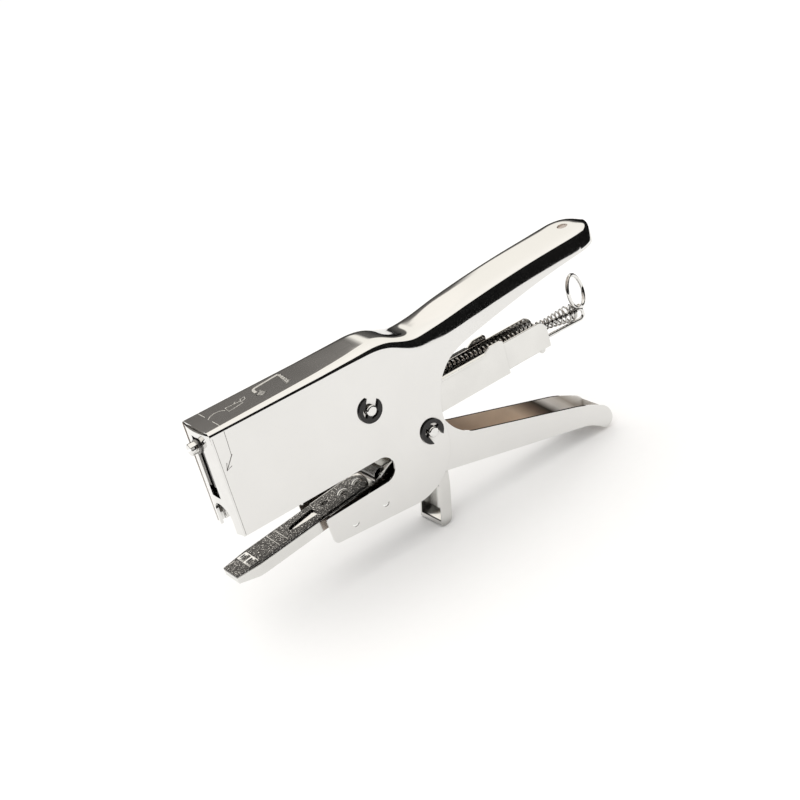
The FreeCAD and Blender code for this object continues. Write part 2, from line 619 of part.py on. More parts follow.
def make_anvil_arm():
    """Channel of the lower jaw, drawn level and then tilted to its rest angle."""
    z1 = ANVIL_Z0 - PLATE
    plan = [((-7.6, -5.9),), ((4.0, -ARM_HALF),), ((ARM_REAR, -ARM_HALF),), ((ARM_REAR, ARM_HALF),),
            ((4.0, ARM_HALF),), ((-7.6, 5.9),)]
    inner = [((-6.6, -4.9),), ((4.0, -ARM_HALF + 1.0),), ((ARM_REAR + 1, -ARM_HALF + 1.0),),
             ((ARM_REAR + 1, ARM_HALF - 1.0),), ((4.0, ARM_HALF - 1.0),), ((-6.6, 4.9),)]
    arm = plan_prism(plan, z1 - 5.2, z1).cut(plan_prism(inner, z1 - 6, z1 - 1.0))
    nose = side_prism([((-9, z1 - 2.6),), ((2.0, z1 - 5.3),), ((-9, z1 - 5.3),)], -9, 9)
    return tilt(arm.cut(nose))


def make_clinch_plate():
    z0 = ANVIL_Z0 - PLATE
    plate = plan_prism([((-7.6, -5.5),), ((4.0, -PLATE_HALF),), ((60.0, -PLATE_HALF),),
                        ((63.9, -4.9), (65.5, 0)), ((63.9, 4.9), (60.0, PLATE_HALF)),
                        ((4.0, PLATE_HALF),), ((-7.6, 5.5),)], z0, ANVIL_Z0)
    pocket = box(-1.9, 3.7, -5.8, 5.8, ANVIL_Z0 - 0.45, ANVIL_Z0 + 1)
    bridge = box(-0.9, 2.7, -1.2, 1.2, ANVIL_Z0 - 0.45, ANVIL_Z0 - 0.15)
    slot = plan_prism([((21.5, -2.2),), ((35.0, -2.6),), ((36.6, 0), (35.0, 2.6)), ((21.5, 2.2),),
                       ((19.9, 0), (21.5, -2.2))], z0 - 1, ANVIL_Z0 + 1)
    dimple = Part.makeSphere(3.0, vec(43.6, 0, ANVIL_Z0 + 2.4))
    return tilt(plate.cut(pocket).fuse(bridge).cut(slot).cut(dimple).removeSplitter())


def make_anvil_rivets():
    z0 = ANVIL_Z0
    rivets = []
    for x in (53.0, 61.0):
        dome = Part.makeSphere(4.4, vec(x, 0, z0 - 3.3)).common(box(x - 4, x + 4, -4, 4, z0, z0 + 3))
        rivets.append(tilt(dome))
    return Part.makeCompound(rivets)


EAR_SLOT_PLAY = 0.9


def make_anvil_bracket():
    """Side plates that carry the jaw on pin B, reach up to the drive studs and down to the tail."""
    inner = ARM_HALF
    outline_steps = [
        ((40.0, -61.9),), ((64.0, -59.4),), ((76.4, -54.0),), ((76.2, -36.0),),
        ((76.6, -31.6), (80.6, -30.2)), ((84.4, -31.4), (85.2, -35.2)), ((92.6, -43.6),),
        ((98.6, -42.8), (102.4, -48.9)), ((101.8, -66.0),), ((100.2, -79.0),), ((96.8, -93.4),),
        ((95.0, -96.2), (90.6, -96.0)), ((94.8, -79.4),), ((93.4, -75.0), (89.0, -72.6)),
        ((80.0, -68.8),), ((67.5, -67.8),), ((44.0, -68.7),), ((40.0, -66.0),)]
    plates = side_prism(outline_steps, -BRACKET_HALF, BRACKET_HALF)
    void = side_prism([((30, -20),), ((30, -75),), ((99.2, -75),), ((99.2, -79.0),), ((95.9, -92.6),),
                       ((92.0, -94.4),), ((80.0, -94.0),), ((80.0, -100.0),), ((20.0, -100.0),),
                       ((20.0, -20.0),)], -inner, inner)
    upper = box(30, 110, -inner, inner, -73.0, -20)
    plates = plates.cut(void).cut(upper)
    plates = plates.cut(rod_y(PIN_B, PIN_R + FIT, -13, 13))
    ray = math.degrees(math.atan2(STUD[1] - PIN_B[1], STUD[0] - PIN_B[0]))
    ear = box(-EAR_SLOT_PLAY, EAR_SLOT_PLAY, -12, 12, -STUD_R - 0.3, STUD_R + 0.3)
    ear.rotate(vec(0, 0, 0), vec(0, -1, 0), ray)
    ear.translate(vec(STUD[0], 0, STUD[1]))
    for along in (-EAR_SLOT_PLAY, EAR_SLOT_PLAY):
        ear = ear.fuse(rod_y(turned(STUD, ray, along), STUD_R + 0.3, -12, 12))
    return plates.cut(ear).cut(rod_y(SPRING_PIN, 1.8, -12, 12)).removeSplitter()


def make_spring_pin():
    return rod_y(SPRING_PIN, 1.8, -BRACKET_HALF, BRACKET_HALF)


def make_anvil_spring():
    """Envelope of the jaw spring: coil on the spring pin, one leg up to the magazine floor."""
    coil = rod_y(SPRING_PIN, 3.6, -5.6, 5.6).cut(rod_y(SPRING_PIN, 2.1, -7, 7))
    leg = Part.makeCylinder(0.5, 10.8, vec(SPRING_PIN[0] - 2.8, 4.7, SPRING_PIN[1]), vec(0.25, 0, 1.0))
    tail = Part.makeCylinder(0.5, 12.0, vec(SPRING_PIN[0], -4.7, SPRING_PIN[1] + 2.8), vec(1.0, 0, 0.1))
    return fuse([coil, leg, tail])


# ---- all pieces ---------------------------------------------------------------------------------
PIECES = {
    "body_shell": make_body_shell,
    "front_plate": make_front_plate,
    "upper_pin": lambda: make_cross_pin(PIN_A),
    "lower_pin": lambda: make_cross_pin(PIN_B),
    "e_clips": make_clips,
    "magazine_channel": make_magazine_channel,
    "magazine_core": make_magazine_core,
    "magazine_rivets": make_magazine_rivets,
    "staple_strip": make_staple_strip,
    "driver_guide_far": make_driver_guide,
    "driver_guide_near": lambda: both_sides(make_driver_guide())[1],
    "feeder_slide": make_feeder_slide,
    "feeder_rod": make_feeder_rod,
    "spring_stop": make_spring_stop,
    "pusher": make_pusher,
    "feeder_spring": make_feeder_spring,
    "lower_handle": make_handle_shell,
    "driver_lever": make_driver_lever,
    "lever_rivets": make_lever_rivets,
    "drive_studs": make_drive_studs,
    "handle_spring": make_handle_spring,
    "driver_blade": make_driver_blade,
    "driver_carriage": make_driver_carriage,
    "driver_bush": make_driver_bush,
    "driver_screw": make_driver_screw,
    "anvil_arm": make_anvil_arm,
    "clinch_plate": make_clinch_plate,
    "anvil_rivets": make_anvil_rivets,
    "anvil_bracket": make_anvil_bracket,
    "spring_pin": make_spring_pin,
    "anvil_spring": make_anvil_spring,
}

os.makedirs("parts", exist_ok=True)
for name, make in PIECES.items():
    piece = make()
    piece.translate(SHIFT)
    piece.exportStep("parts/" + name + ".step")
    extent = piece.BoundBox
    print("%-18s valid %s solids %d x %.1f..%.1f y %.1f..%.1f z %.1f..%.1f" % (
        name, piece.isValid(), len(piece.Solids), extent.XMin, extent.XMax, extent.YMin, extent.YMax,
        extent.ZMin, extent.ZMax))
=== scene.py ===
import bpy
import bmesh
import math
import random
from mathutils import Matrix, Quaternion, Vector


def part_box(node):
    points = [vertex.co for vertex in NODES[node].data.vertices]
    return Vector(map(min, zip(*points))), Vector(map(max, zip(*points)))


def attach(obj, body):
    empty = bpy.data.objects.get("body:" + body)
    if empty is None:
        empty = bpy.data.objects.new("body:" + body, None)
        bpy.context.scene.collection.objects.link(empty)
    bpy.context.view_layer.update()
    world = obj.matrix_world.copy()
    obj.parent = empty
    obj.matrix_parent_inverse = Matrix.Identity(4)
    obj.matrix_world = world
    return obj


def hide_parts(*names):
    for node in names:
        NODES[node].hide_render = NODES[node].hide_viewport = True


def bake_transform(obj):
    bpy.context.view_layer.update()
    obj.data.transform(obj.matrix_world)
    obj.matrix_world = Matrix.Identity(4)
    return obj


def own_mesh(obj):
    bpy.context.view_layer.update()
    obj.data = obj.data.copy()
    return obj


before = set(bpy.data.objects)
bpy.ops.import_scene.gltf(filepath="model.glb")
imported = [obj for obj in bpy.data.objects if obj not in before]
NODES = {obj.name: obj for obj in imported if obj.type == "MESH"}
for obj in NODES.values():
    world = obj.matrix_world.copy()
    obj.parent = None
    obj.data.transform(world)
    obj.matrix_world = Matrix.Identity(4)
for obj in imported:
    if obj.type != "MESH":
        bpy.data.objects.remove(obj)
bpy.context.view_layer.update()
random.seed(31)

# Millimetres in the head frame: X from the front of the head to the handles, Y across, Z up from the
# top front edge. The upper pin stands at X 71, Z -25 in it.
MM = 0.001
PIN_A = (71.0, -25.0)
pin_low, pin_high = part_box("upper_pin")
HEAD = Vector(((pin_low.x + pin_high.x) / 2 - PIN_A[0] * MM, 0.0,
               (pin_low.z + pin_high.z) / 2 - PIN_A[1] * MM))


def at(x, y, z):
    return HEAD + Vector((x, y, z)) * MM


def add_object(name, data):
    thing = bpy.data.objects.new(name, data)
    bpy.context.scene.collection.objects.link(thing)
    return thing


# ---- camera ----
CAMERA_PLACE = (-201.1, -553.6, 265.1)
CAMERA_BACK = (-0.42265, -0.79712, 0.43123)
CAMERA_UP = (0.44333, 0.23316, 0.86550)
CAMERA_LENS = 72.0
CAMERA_SENSOR = 36.0
CAMERA_NEAREST = 0.02
CAMERA_FARTHEST = 50.0


def make_camera():
    data = bpy.data.cameras.new("camera")
    data.lens = CAMERA_LENS
    data.sensor_width = CAMERA_SENSOR
    data.clip_start = CAMERA_NEAREST
    data.clip_end = CAMERA_FARTHEST
    camera = add_object("camera", data)
    camera.location = at(*CAMERA_PLACE)
    camera.rotation_mode = "QUATERNION"
    level = (-Vector(CAMERA_BACK)).to_track_quat("-Z", "Y")
    up = level @ Vector((0, 1, 0))
    right = level @ Vector((1, 0, 0))
    wanted = Vector(CAMERA_UP)
    roll = math.atan2(-wanted.dot(right), wanted.dot(up))
    camera.rotation_quaternion = level @ Quaternion((0.0, 0.0, 1.0), roll)
    bpy.context.scene.camera = camera


# ---- materials ----
GRAIN_FINENESS = 900.0
GRAIN_DEPTH = 0.00002
GRAIN_SHARE = 0.6          # how much the grain adds to the roughness, against the mottling
DRIFT_RANGE = (0.3, 0.7)
# Painted shade in the hollows: the ambient-occlusion range, and the warm dark tint it multiplies into the
# colour.
HOLLOW_SHADE_RANGE = (0.25, 0.8)
HOLLOW_SHADE_WARMTH = (1.0, 0.94, 0.88)
LOWER_TOP = (119.7, -60.7)     # a point on the top edge of the lower handle
LOWER_FALL = -0.338            # and the fall of that edge along the handle
BAND_SLANT = 1.3


def node_maker(owner):
    """Two functions for the node tree of a material or a world: one makes a node, one links sockets."""
    tree = owner.node_tree


    def make(kind, **values):
        node = tree.nodes.new(kind)
        for key, value in values.items():
            if key in node.inputs:
                node.inputs[key].default_value = value
            else:
                setattr(node, key, value)
        return node
    return make, tree.links.new


def new_material(name):
    """A material, its two node functions and its shader."""
    material = bpy.data.materials.new(name)
    material.use_nodes = True
    make, link = node_maker(material)
    return material, make, link, material.node_tree.nodes["Principled BSDF"]


def set_stop(stop, position, colour):
    stop.position = position
    stop.color = (*colour, 1.0)


def painted_bands_along(make, link, place, along):
    """Painted reflection and shade: soft light and dark colour bands across the lower handle. along lists (X
    on its top edge, colour).
    """
    slope = Vector((1.0 - BAND_SLANT * LOWER_FALL, 0.0, BAND_SLANT))
    stops = [at(x, 0, LOWER_TOP[1] + LOWER_FALL * (x - LOWER_TOP[0])).dot(slope) for x, band in along]
    first = stops[0]
    last = stops[-1]
    travel = make("ShaderNodeVectorMath", operation="DOT_PRODUCT")
    link(place.outputs["Object"], travel.inputs[0])
    travel.inputs[1].default_value = slope
    share = make("ShaderNodeMapRange")
    share.inputs["From Min"].default_value = first
    share.inputs["From Max"].default_value = last
    link(travel.outputs["Value"], share.inputs["Value"])
    bands = make("ShaderNodeValToRGB")
    for stop, (x, band) in zip(stops[1:-1], along[1:-1]):
        bands.color_ramp.elements.new((stop - first) / (last - first)).color = (*band, 1.0)
    bands.color_ramp.elements[0].color = (*along[0][1], 1.0)
    bands.color_ramp.elements[len(along) - 1].color = (*along[-1][1], 1.0)
    link(share.outputs["Result"], bands.inputs["Fac"])
    return bands.outputs["Color"]


def hollow_painted_shade(make, link, hollow_shade, reach):
    """Painted shade: colour read from ambient occlusion that darkens and warms the hollows of a surface."""
    hollow = make("ShaderNodeAmbientOcclusion", Distance=reach, samples=6)
    shade = make("ShaderNodeValToRGB")
    set_stop(shade.color_ramp.elements[0], HOLLOW_SHADE_RANGE[0], [(1.0 - hollow_shade) * c for c in HOLLOW_SHADE_WARMTH])
    set_stop(shade.color_ramp.elements[1], HOLLOW_SHADE_RANGE[1], (1.0, 1.0, 1.0))
    link(hollow.outputs["AO"], shade.inputs["Fac"])
    return shade.outputs["Color"]


def multiplied(make, link, colour, shade):
    product = make("ShaderNodeVectorMath", operation="MULTIPLY")
    link(colour, product.inputs[0])
    link(shade, product.inputs[1])
    return product.outputs["Vector"]


def metal(name, colour, rough, mottle=0.05, mottle_scale=40.0, grain=0.0, grain_scale=(1, 1, 1),
          dents=0.0, dent_scale=300.0, dent_size=0.0002, tint=0.06, metallic=1.0, hollow_shade=0.0,
          reach=0.005, along=()):
    """Plated or bare metal: uneven roughness, drawn grain, small dents, a faint colour drift and
    painted shade in the hollows. along paints soft bands of reflection and shade into it from the front to
    the rear."""
    material, make, link, shader = new_material(name)
    shader.inputs["Metallic"].default_value = metallic
    place = make("ShaderNodeTexCoord")
    drift = make("ShaderNodeTexNoise", Scale=mottle_scale, Detail=4.0)
    link(place.outputs["Object"], drift.inputs["Vector"])
    ramp = make("ShaderNodeValToRGB")
    set_stop(ramp.color_ramp.elements[0], DRIFT_RANGE[0], [c * (1.0 - tint) for c in colour])
    set_stop(ramp.color_ramp.elements[1], DRIFT_RANGE[1], colour)
    link(drift.outputs["Fac"], ramp.inputs["Fac"])
    surface = ramp.outputs["Color"]
    # along: multiplies in the painted reflection and shade bands.
    if along:
        surface = multiplied(make, link, surface, painted_bands_along(make, link, place, along))
    # Painted shade: ambient occlusion darkens the colour in hollows and crevices.
    if hollow_shade > 0.0:
        surface = multiplied(make, link, surface, hollow_painted_shade(make, link, hollow_shade, reach))
    link(surface, shader.inputs["Base Color"])
    stretch = make("ShaderNodeMapping", Scale=grain_scale)
    link(place.outputs["Object"], stretch.inputs["Vector"])
    lines = make("ShaderNodeTexNoise", Scale=GRAIN_FINENESS, Detail=3.0)
    link(stretch.outputs["Vector"], lines.inputs["Vector"])
    grained = make("ShaderNodeMath", operation="MULTIPLY_ADD")
    grained.inputs[1].default_value = GRAIN_SHARE
    grained.inputs[2].default_value = -0.5 * GRAIN_SHARE
    link(lines.outputs["Fac"], grained.inputs[0])
    mixed = make("ShaderNodeMath", operation="ADD")
    link(drift.outputs["Fac"], mixed.inputs[0])
    link(grained.outputs["Value"], mixed.inputs[1])
    uneven = make("ShaderNodeMath", operation="MULTIPLY_ADD")
    uneven.inputs[1].default_value = mottle
    uneven.inputs[2].default_value = rough - mottle * 0.5
    link(mixed.outputs["Value"], uneven.inputs[0])
    link(uneven.outputs["Value"], shader.inputs["Roughness"])
    normal = None
    if grain > 0.0:
        normal = make("ShaderNodeBump", Strength=grain, Distance=GRAIN_DEPTH)
        link(lines.outputs["Fac"], normal.inputs["Height"])
    if dents > 0.0:
        pits = make("ShaderNodeTexNoise", Scale=dent_scale, Detail=2.0)
        link(place.outputs["Object"], pits.inputs["Vector"])
        bump = make("ShaderNodeBump", Strength=dents, Distance=dent_size)
        link(pits.outputs["Fac"], bump.inputs["Height"])
        if normal:
            link(normal.outputs["Normal"], bump.inputs["Normal"])
        normal = bump
    if normal:
        link(normal.outputs["Normal"], shader.inputs["Normal"])
    return material


# Painted reflections and shade inside the lower handle: the light and dark bands seen along it, put into its
# colour.
LOWER_PAINTED_BANDS = [(90.0, (0.45, 0.34, 0.27)), (128.0, (0.80, 0.68, 0.57)), (150.0, (0.85, 0.72, 0.60)),
               (160.0, (0.30, 0.24, 0.20)), (166.0, (0.07, 0.06, 0.05)), (172.0, (1.0, 1.0, 1.0)),
               (177.0, (1.0, 0.98, 0.96)), (181.0, (0.6, 0.56, 0.52)), (188.0, (1.0, 1.0, 1.0)),
               (205.0, (1.0, 1.0, 1.0))]
# Each metal below gets painted shade in its hollows, by the amount given.
PLATE = metal("nickel_shell", (0.755, 0.75, 0.735), 0.06, mottle=0.04, grain=0.12,
              grain_scale=(0.05, 1, 1), dents=0.05, dent_scale=60.0, dent_size=0.0004, tint=0.03,
              hollow_shade=0.55, reach=0.004)
# Darker, browner copy of the shell for its inner faces. The colour is painted shade; the rougher satin finish
# is real.
INSIDE_SATIN_SHADED = metal("nickel_inside", (0.70, 0.62, 0.56), 0.26, mottle=0.16, mottle_scale=60.0, grain=0.5,
               grain_scale=(0.05, 1, 1), dents=0.2, dent_scale=140.0, dent_size=0.0002, tint=0.25,
               hollow_shade=0.6, reach=0.008)
INSIDE_LOWER_PAINTED = metal("nickel_inside_lower", (0.92, 0.90, 0.87), 0.2, mottle=0.16, mottle_scale=60.0,
                     grain=0.5, grain_scale=(0.05, 1, 1), dents=0.1, dent_scale=140.0, dent_size=0.0001,
                     tint=0.2, hollow_shade=0.35, reach=0.004, along=LOWER_PAINTED_BANDS, metallic=0.35)
PLATE_SMALL = metal("nickel_small", (0.79, 0.785, 0.77), 0.10, mottle=0.08, mottle_scale=150.0,
                    grain=0.2, dents=0.12, dent_scale=260.0, dent_size=0.0001, hollow_shade=0.8, reach=0.003)
PLATE_SHEET = metal("nickel_sheet", (0.745, 0.74, 0.72), 0.13, mottle=0.1, mottle_scale=90.0, grain=0.3,
                    grain_scale=(0.06, 1, 1), dents=0.14, dent_scale=200.0, dent_size=0.00012,
                    hollow_shade=0.85, reach=0.007)


SPECK_FINENESS = 1750.0
SPECK_RANGE = (0.48, 0.57, 0.67)
SPECK_ROUGH = (0.34, 0.16)
SPECK_DEPTH = 0.00012


def speckled(name, dark, bright):
    """Knurled steel: dark ground with fine bright specks painted into the colour as glints; the specks are
    also smoother and raised.
    """
    material, make, link, shader = new_material(name)
    shader.inputs["Metallic"].default_value = 1.0
    place = make("ShaderNodeTexCoord")
    fine = make("ShaderNodeTexNoise", Scale=SPECK_FINENESS, Detail=3.0)
    link(place.outputs["Object"], fine.inputs["Vector"])
    ramp = make("ShaderNodeValToRGB")
    elements = ramp.color_ramp.elements
    set_stop(elements[0], SPECK_RANGE[0], dark)
    # The bright stop paints glints into the colour.
    set_stop(elements[1], SPECK_RANGE[2], bright)
    elements.new(SPECK_RANGE[1]).color = (*[1.6 * c for c in dark], 1.0)
    link(fine.outputs["Fac"], ramp.inputs["Fac"])
    link(ramp.outputs["Color"], shader.inputs["Base Color"])
    rough = make("ShaderNodeMapRange")
    rough.inputs["To Min"].default_value = SPECK_ROUGH[0]
    rough.inputs["To Max"].default_value = SPECK_ROUGH[1]
    link(fine.outputs["Fac"], rough.inputs["Value"])
    link(rough.outputs["Result"], shader.inputs["Roughness"])
    bump = make("ShaderNodeBump", Strength=1.0, Distance=SPECK_DEPTH)
    link(fine.outputs["Fac"], bump.inputs["Height"])
    link(bump.outputs["Normal"], shader.inputs["Normal"])
    return material


# Anvil plate: dark ground with painted glints in its colour.
HAMMERED = speckled("anvil_plate", (0.075, 0.073, 0.07), (1.0, 0.98, 0.95))
OXIDE = metal("black_oxide", (0.035, 0.034, 0.034), 0.32, mottle=0.2, mottle_scale=300.0, grain=0.4,
              dents=0.3, dent_scale=500.0, dent_size=0.0001, metallic=0.6, tint=0.3)
# The spring wire and the bare steel also get painted shade in their hollows.
WIRE = metal("spring_wire", (0.62, 0.61, 0.59), 0.12, mottle=0.1, mottle_scale=200.0, grain=0.25,
             tint=0.2, hollow_shade=0.9, reach=0.003)
BARE = metal("bare_steel", (0.42, 0.41, 0.40), 0.33, mottle=0.22, mottle_scale=120.0, grain=0.5,
             grain_scale=(0.1, 1, 1), dents=0.15, dent_scale=200.0, dent_size=0.0001, tint=0.2, hollow_shade=0.9,
             reach=0.006)
STAPLE = metal("staple_wire", (0.75, 0.74, 0.72), 0.22, mottle=0.1, mottle_scale=300.0, grain=0.4,
               tint=0.1)
MARK = metal("stamped_mark", (0.80, 0.79, 0.76), 0.42, mottle=0.2, mottle_scale=700.0, grain=0.8,
             dents=0.6, dent_scale=900.0, dent_size=0.0001)
MARK_DARK = metal("etched_mark", (0.20, 0.19, 0.18), 0.45, mottle=0.2, mottle_scale=700.0, grain=0.6)


# ---- mesh helpers ----
WELD_REACH = 0.000002
FLAT_ANGLE = 0.6
BEVEL_ANGLE = 32.0
BEVEL_WEIGHT = 80
FACING = 0.3               # least part of a normal along an axis that counts as facing that way


def add_piece(name, mesh, material, body, replaced=()):
    piece = add_object(name, mesh)
    mesh.materials.append(material)
    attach(piece, body)
    if replaced:
        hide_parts(*replaced)
    return piece


def mesh_from(name, points, faces):
    """Mesh from head-frame points in millimetres."""
    mesh = bpy.data.meshes.new(name)
    mesh.from_pydata([at(*p) for p in points], [], faces)
    mesh.validate()
    mesh.update()
    return mesh


def tube_faces(count, rings=2):
    """Faces of a closed tube: the sides between rings of count points each, then the two ends."""
    faces = []
    for r in range(rings - 1):
        for k in range(count):
            a = r * count + k
            b = r * count + (k + 1) % count
            faces.append((a, b, b + count, a + count))
    faces.append(tuple(range(count))[::-1])
    faces.append(tuple(range((rings - 1) * count, rings * count)))
    return faces


def apply_modifiers(piece):
    bpy.context.view_layer.update()
    graph = bpy.context.evaluated_depsgraph_get()
    done = bpy.data.meshes.new_from_object(piece.evaluated_get(graph))
    piece.modifiers.clear()
    piece.data = done


def smooth(piece, angle):
    for face in piece.data.polygons:
        face.use_smooth = True
    piece.data.set_sharp_from_angle(angle=math.radians(angle))


def round_edges(piece, width, segments, angle, weight):
    """Bevel on the edges sharper than an angle, and normals that keep the flat faces flat."""
    bevel = piece.modifiers.new("bevel", "BEVEL")
    bevel.width = width * MM
    bevel.segments = segments
    bevel.limit_method = "ANGLE"
    bevel.angle_limit = math.radians(angle)
    bevel.use_clamp_overlap = True
    bevel.harden_normals = True
    even = piece.modifiers.new("even", "WEIGHTED_NORMAL")
    even.keep_sharp = True
    even.weight = weight


def soften(piece, width, angle=BEVEL_ANGLE, segments=2, merge=True):
    """Rounded edges and even shading on a piece or a carried-over CAD node."""
    weld = piece.modifiers.new("weld", "WELD")
    weld.merge_threshold = WELD_REACH
    if merge:
        flat = piece.modifiers.new("flat", "DECIMATE")
        flat.decimate_type = "DISSOLVE"
        flat.angle_limit = math.radians(FLAT_ANGLE)
    round_edges(piece, width, segments, angle, BEVEL_WEIGHT)


def thicken(piece, gauge):
    """Gives a sheet its thickness on the inner side."""
    thick = piece.modifiers.new("thick", "SOLIDIFY")
    thick.thickness = gauge * MM
    thick.offset = -1.0
    return thick


def cut_out(piece, name, tool):
    """Boolean cut of a tool mesh. Returns the cutter, to be removed once the cut is applied."""
    cutter = add_object(name, tool)
    cut = piece.modifiers.new(name, "BOOLEAN")
    cut.operation = "DIFFERENCE"
    cut.solver = "EXACT"
    cut.object = cutter
    return cutter


def dress(node, material, width, segments=2):
    """Material and rounded edges for a CAD node that is carried over as it is."""
    piece = NODES[node]
    for name in ("custom_normal", "sharp_face", "sharp_edge"):
        found = piece.data.attributes.get(name)
        if found:
            piece.data.attributes.remove(found)
    for face in piece.data.polygons:
        face.use_smooth = True
    piece.data.materials.clear()
    piece.data.materials.append(material)
    soften(piece, width, segments=segments)


def line_inside(piece, half, material):
    """Gives the faces of a channel within a half width of its middle a second material."""
    piece.data.materials.append(material)
    for face in piece.data.polygons:
        if abs(face.center.y) < half * MM:
            face.material_index = 1


def edge_faces(piece, gauge, material):
    """Gives the top edges of a folded sheet a second material: a painted dark line of shade along the lip."""
    piece.data.materials.append(material)
    reach = max(abs(v.co.y) for v in piece.data.vertices) - gauge * MM
    for face in piece.data.polygons:
        if face.normal.z > FACING and abs(face.center.y) > reach:
            face.material_index = 1


def arc_points(centre, radius, start, end, steps):
    found = []
    for i in range(steps + 1):
        a = math.radians(start + (end - start) * i / steps)
        found.append((centre[0] + radius * math.cos(a), centre[1] + radius * math.sin(a)))
    return found


def curve_value(points, x):
    """Smooth monotone-cubic reading of a short list of (x, value) points."""
    if x <= points[0][0]:
        return points[0][1]
    if x >= points[-1][0]:
        return points[-1][1]
    slopes = []
    for i in range(len(points) - 1):
        slopes.append((points[i + 1][1] - points[i][1]) / (points[i + 1][0] - points[i][0]))
    tangents = [slopes[0]]
    for i in range(1, len(slopes)):
        same_way = slopes[i - 1] * slopes[i] > 0
        mean = 2 * slopes[i - 1] * slopes[i] / (slopes[i - 1] + slopes[i]) if same_way else 0.0
        tangents.append(mean)
    tangents.append(slopes[-1])
    for i in range(len(points) - 1):
        x0, v0 = points[i]
        x1, v1 = points[i + 1]
        if x <= x1:
            h = x1 - x0
            t = (x - x0) / h
            return ((2 * t**3 - 3 * t**2 + 1) * v0 + (t**3 - 2 * t**2 + t) * h * tangents[i]
                    + (3 * t**2 - 2 * t**3) * v1 + (t**3 - t**2) * h * tangents[i + 1])


EASE_REACH = 4.0
EASE_STEPS = 4


def eased_value(points, x):
    """curve_value averaged over a short stretch, which takes its kinks in curvature away."""
    total = 0.0
    count = 0
    for i in range(-EASE_STEPS, EASE_STEPS + 1):
        weight = EASE_STEPS + 1 - abs(i)
        total += weight * curve_value(points, x + EASE_REACH * i / EASE_STEPS)
        count += weight
    return total / count


def wire_mesh(name, path, radius, sides):
    """Round wire through head-frame points, with a frame carried along so that it doesn't twist."""
    centres = [at(*p) for p in path]
    count = len(centres)
    points = []
    normal = None
    for i, centre in enumerate(centres):
        along = (centres[min(i + 1, count - 1)] - centres[max(i - 1, 0)]).normalized()
        if normal is None:
            normal = along.orthogonal().normalized()
        normal = (normal - along * normal.dot(along)).normalized()
        other = along.cross(normal)
        for k in range(sides):
            a = 2 * math.pi * k / sides
            points.append(centre + (normal * math.cos(a) + other * math.sin(a)) * radius * MM)
    mesh = bpy.data.meshes.new(name)
    mesh.from_pydata(points, [], tube_faces(sides, count))
    mesh.validate()
    for face in mesh.polygons:
        face.use_smooth = len(face.vertices) == 4
    return mesh


# ---- housing and upper handle ----
HEAD_HALF = 12.0
SHEET = 1.2
FLAT_TOP = 0.5
FLAT_TOP_END = 54.0
HALF_WIDTH = [(0, 12.0), (109, 12.0), (126, 12.9), (150, 13.2), (212, 13.2)]
CROWN = [(0, 0.5), (50, 0.5), (72, 0.9), (81, 1.2), (88, 0.5), (96, -2.8), (103, -4.9), (112, -4.4),
         (130, -2.1), (150, 0.0), (165, 1.2), (180, 2.0), (192, 2.5), (201, 3.0), (206, 2.6),
         (209, 0.3)]
SHOULDER_WIDE = [(0, 2.2), (60, 4.0), (80, 6.0), (92, 9.0), (104, 10.0), (212, 10.0)]
SHOULDER_HIGH = [(0, 1.8), (60, 2.6), (80, 3.8), (92, 6.0), (104, 8.0), (150, 8.6), (192, 8.2),
                 (204, 7.7), (212, 6.2)]
LEAN = [(0, 0.0), (84, 0.0), (104, 0.7), (130, 1.0), (212, 1.0)]
SQUARE = [(0, 0.55), (60, 0.62), (80, 0.70), (92, 0.80), (104, 0.92), (130, 0.95), (212, 0.95)]
LOWER_EDGE = [(109.0, -28.0), (112.0, -24.4), (115.6, -21.4), (120.0, -19.2), (125.0, -17.6),
              (160.0, -10.9), (170.0, -9.4), (180.0, -8.2), (190.0, -7.2), (200.0, -6.5), (214.0, -6.4)]
SECTION_STEPS = 16
CROWN_STEPS = 3
LEAST_HALF = 0.3
LEAST_FLAT = 0.1
LEAN_AT_TOP = 0.4
TIP_START = 193.5
TIP_ROUND = 15.6
TIP_POWER = 2.0
TIP_STEPS = 20
TIP_CLOSED = 0.9995        # the last section stays a hair open, so that the tip's faces aren't empty
FRONT_EDGE = -0.4
FIRST_SECTION = 2.0
HEAD_STEP = 4.0
NECK_START = 60.0
NECK_STEP = 1.5
SIDE_END = 109.0
STRIP_STEPS = 4
# Lower outline of a cheek from the front to the handle. Places are (X, Z), but the nick has only X.
HEAD_DEPTH = -48.0
NICK = (27.6, 28.0, 28.4, 28.8)
NICK_HIGH = 0.6
THROAT = (68.8, -54.0)
THROAT_R = 6.0
THROAT_STEPS = 18
SKIRT_FRONT = [(36.9, -60.9), (36.4, -61.6), (36.4, -62.4), (37.15, -71.6), (37.5, -72.8), (38.3, -73.5),
               (39.4, -73.8)]
SKIRT_REAR = (78.0, -76.9)
BELLY = (90.3, -75.2)
CORNER = (98.6, -69.0)
CORNER_REAR = (102.6, -62.5)
NECK_LOW = (104.0, -55.0)
NECK_HIGH = (104.3, -46.0)
NECK_BEND = (105.4, -36.6)
ARC_STEPS = 12
LUGS = [(49.0, -69.4), (65.4, -68.4)]
LUG_R = 1.75
LUG_SAG = 0.8
LUG_SAG_PLACES = (1.2, 0.6, 0.0, -0.6, -1.2)
HANG_HOLE = (197.0, 0.0, -10.0)
HANG_HOLE_R = 2.5
HANG_HOLE_LONG = 20.0
HANDLE_INSIDE_FLOOR = -7.0
SHEET_EDGES = (0.22, 3, 50, 90)     # bevel width, segments, least angle and weight of the flat faces


def tip_share(x):
    """Share of the full half width that is left at a place of the handle's round end."""
    if x <= TIP_START:
        return 1.0
    return max(0.0, 1.0 - ((x - TIP_START) / TIP_ROUND) ** TIP_POWER) ** (1.0 / TIP_POWER)


def crown(x):
    return eased_value(CROWN, x) if x > FLAT_TOP_END else FLAT_TOP


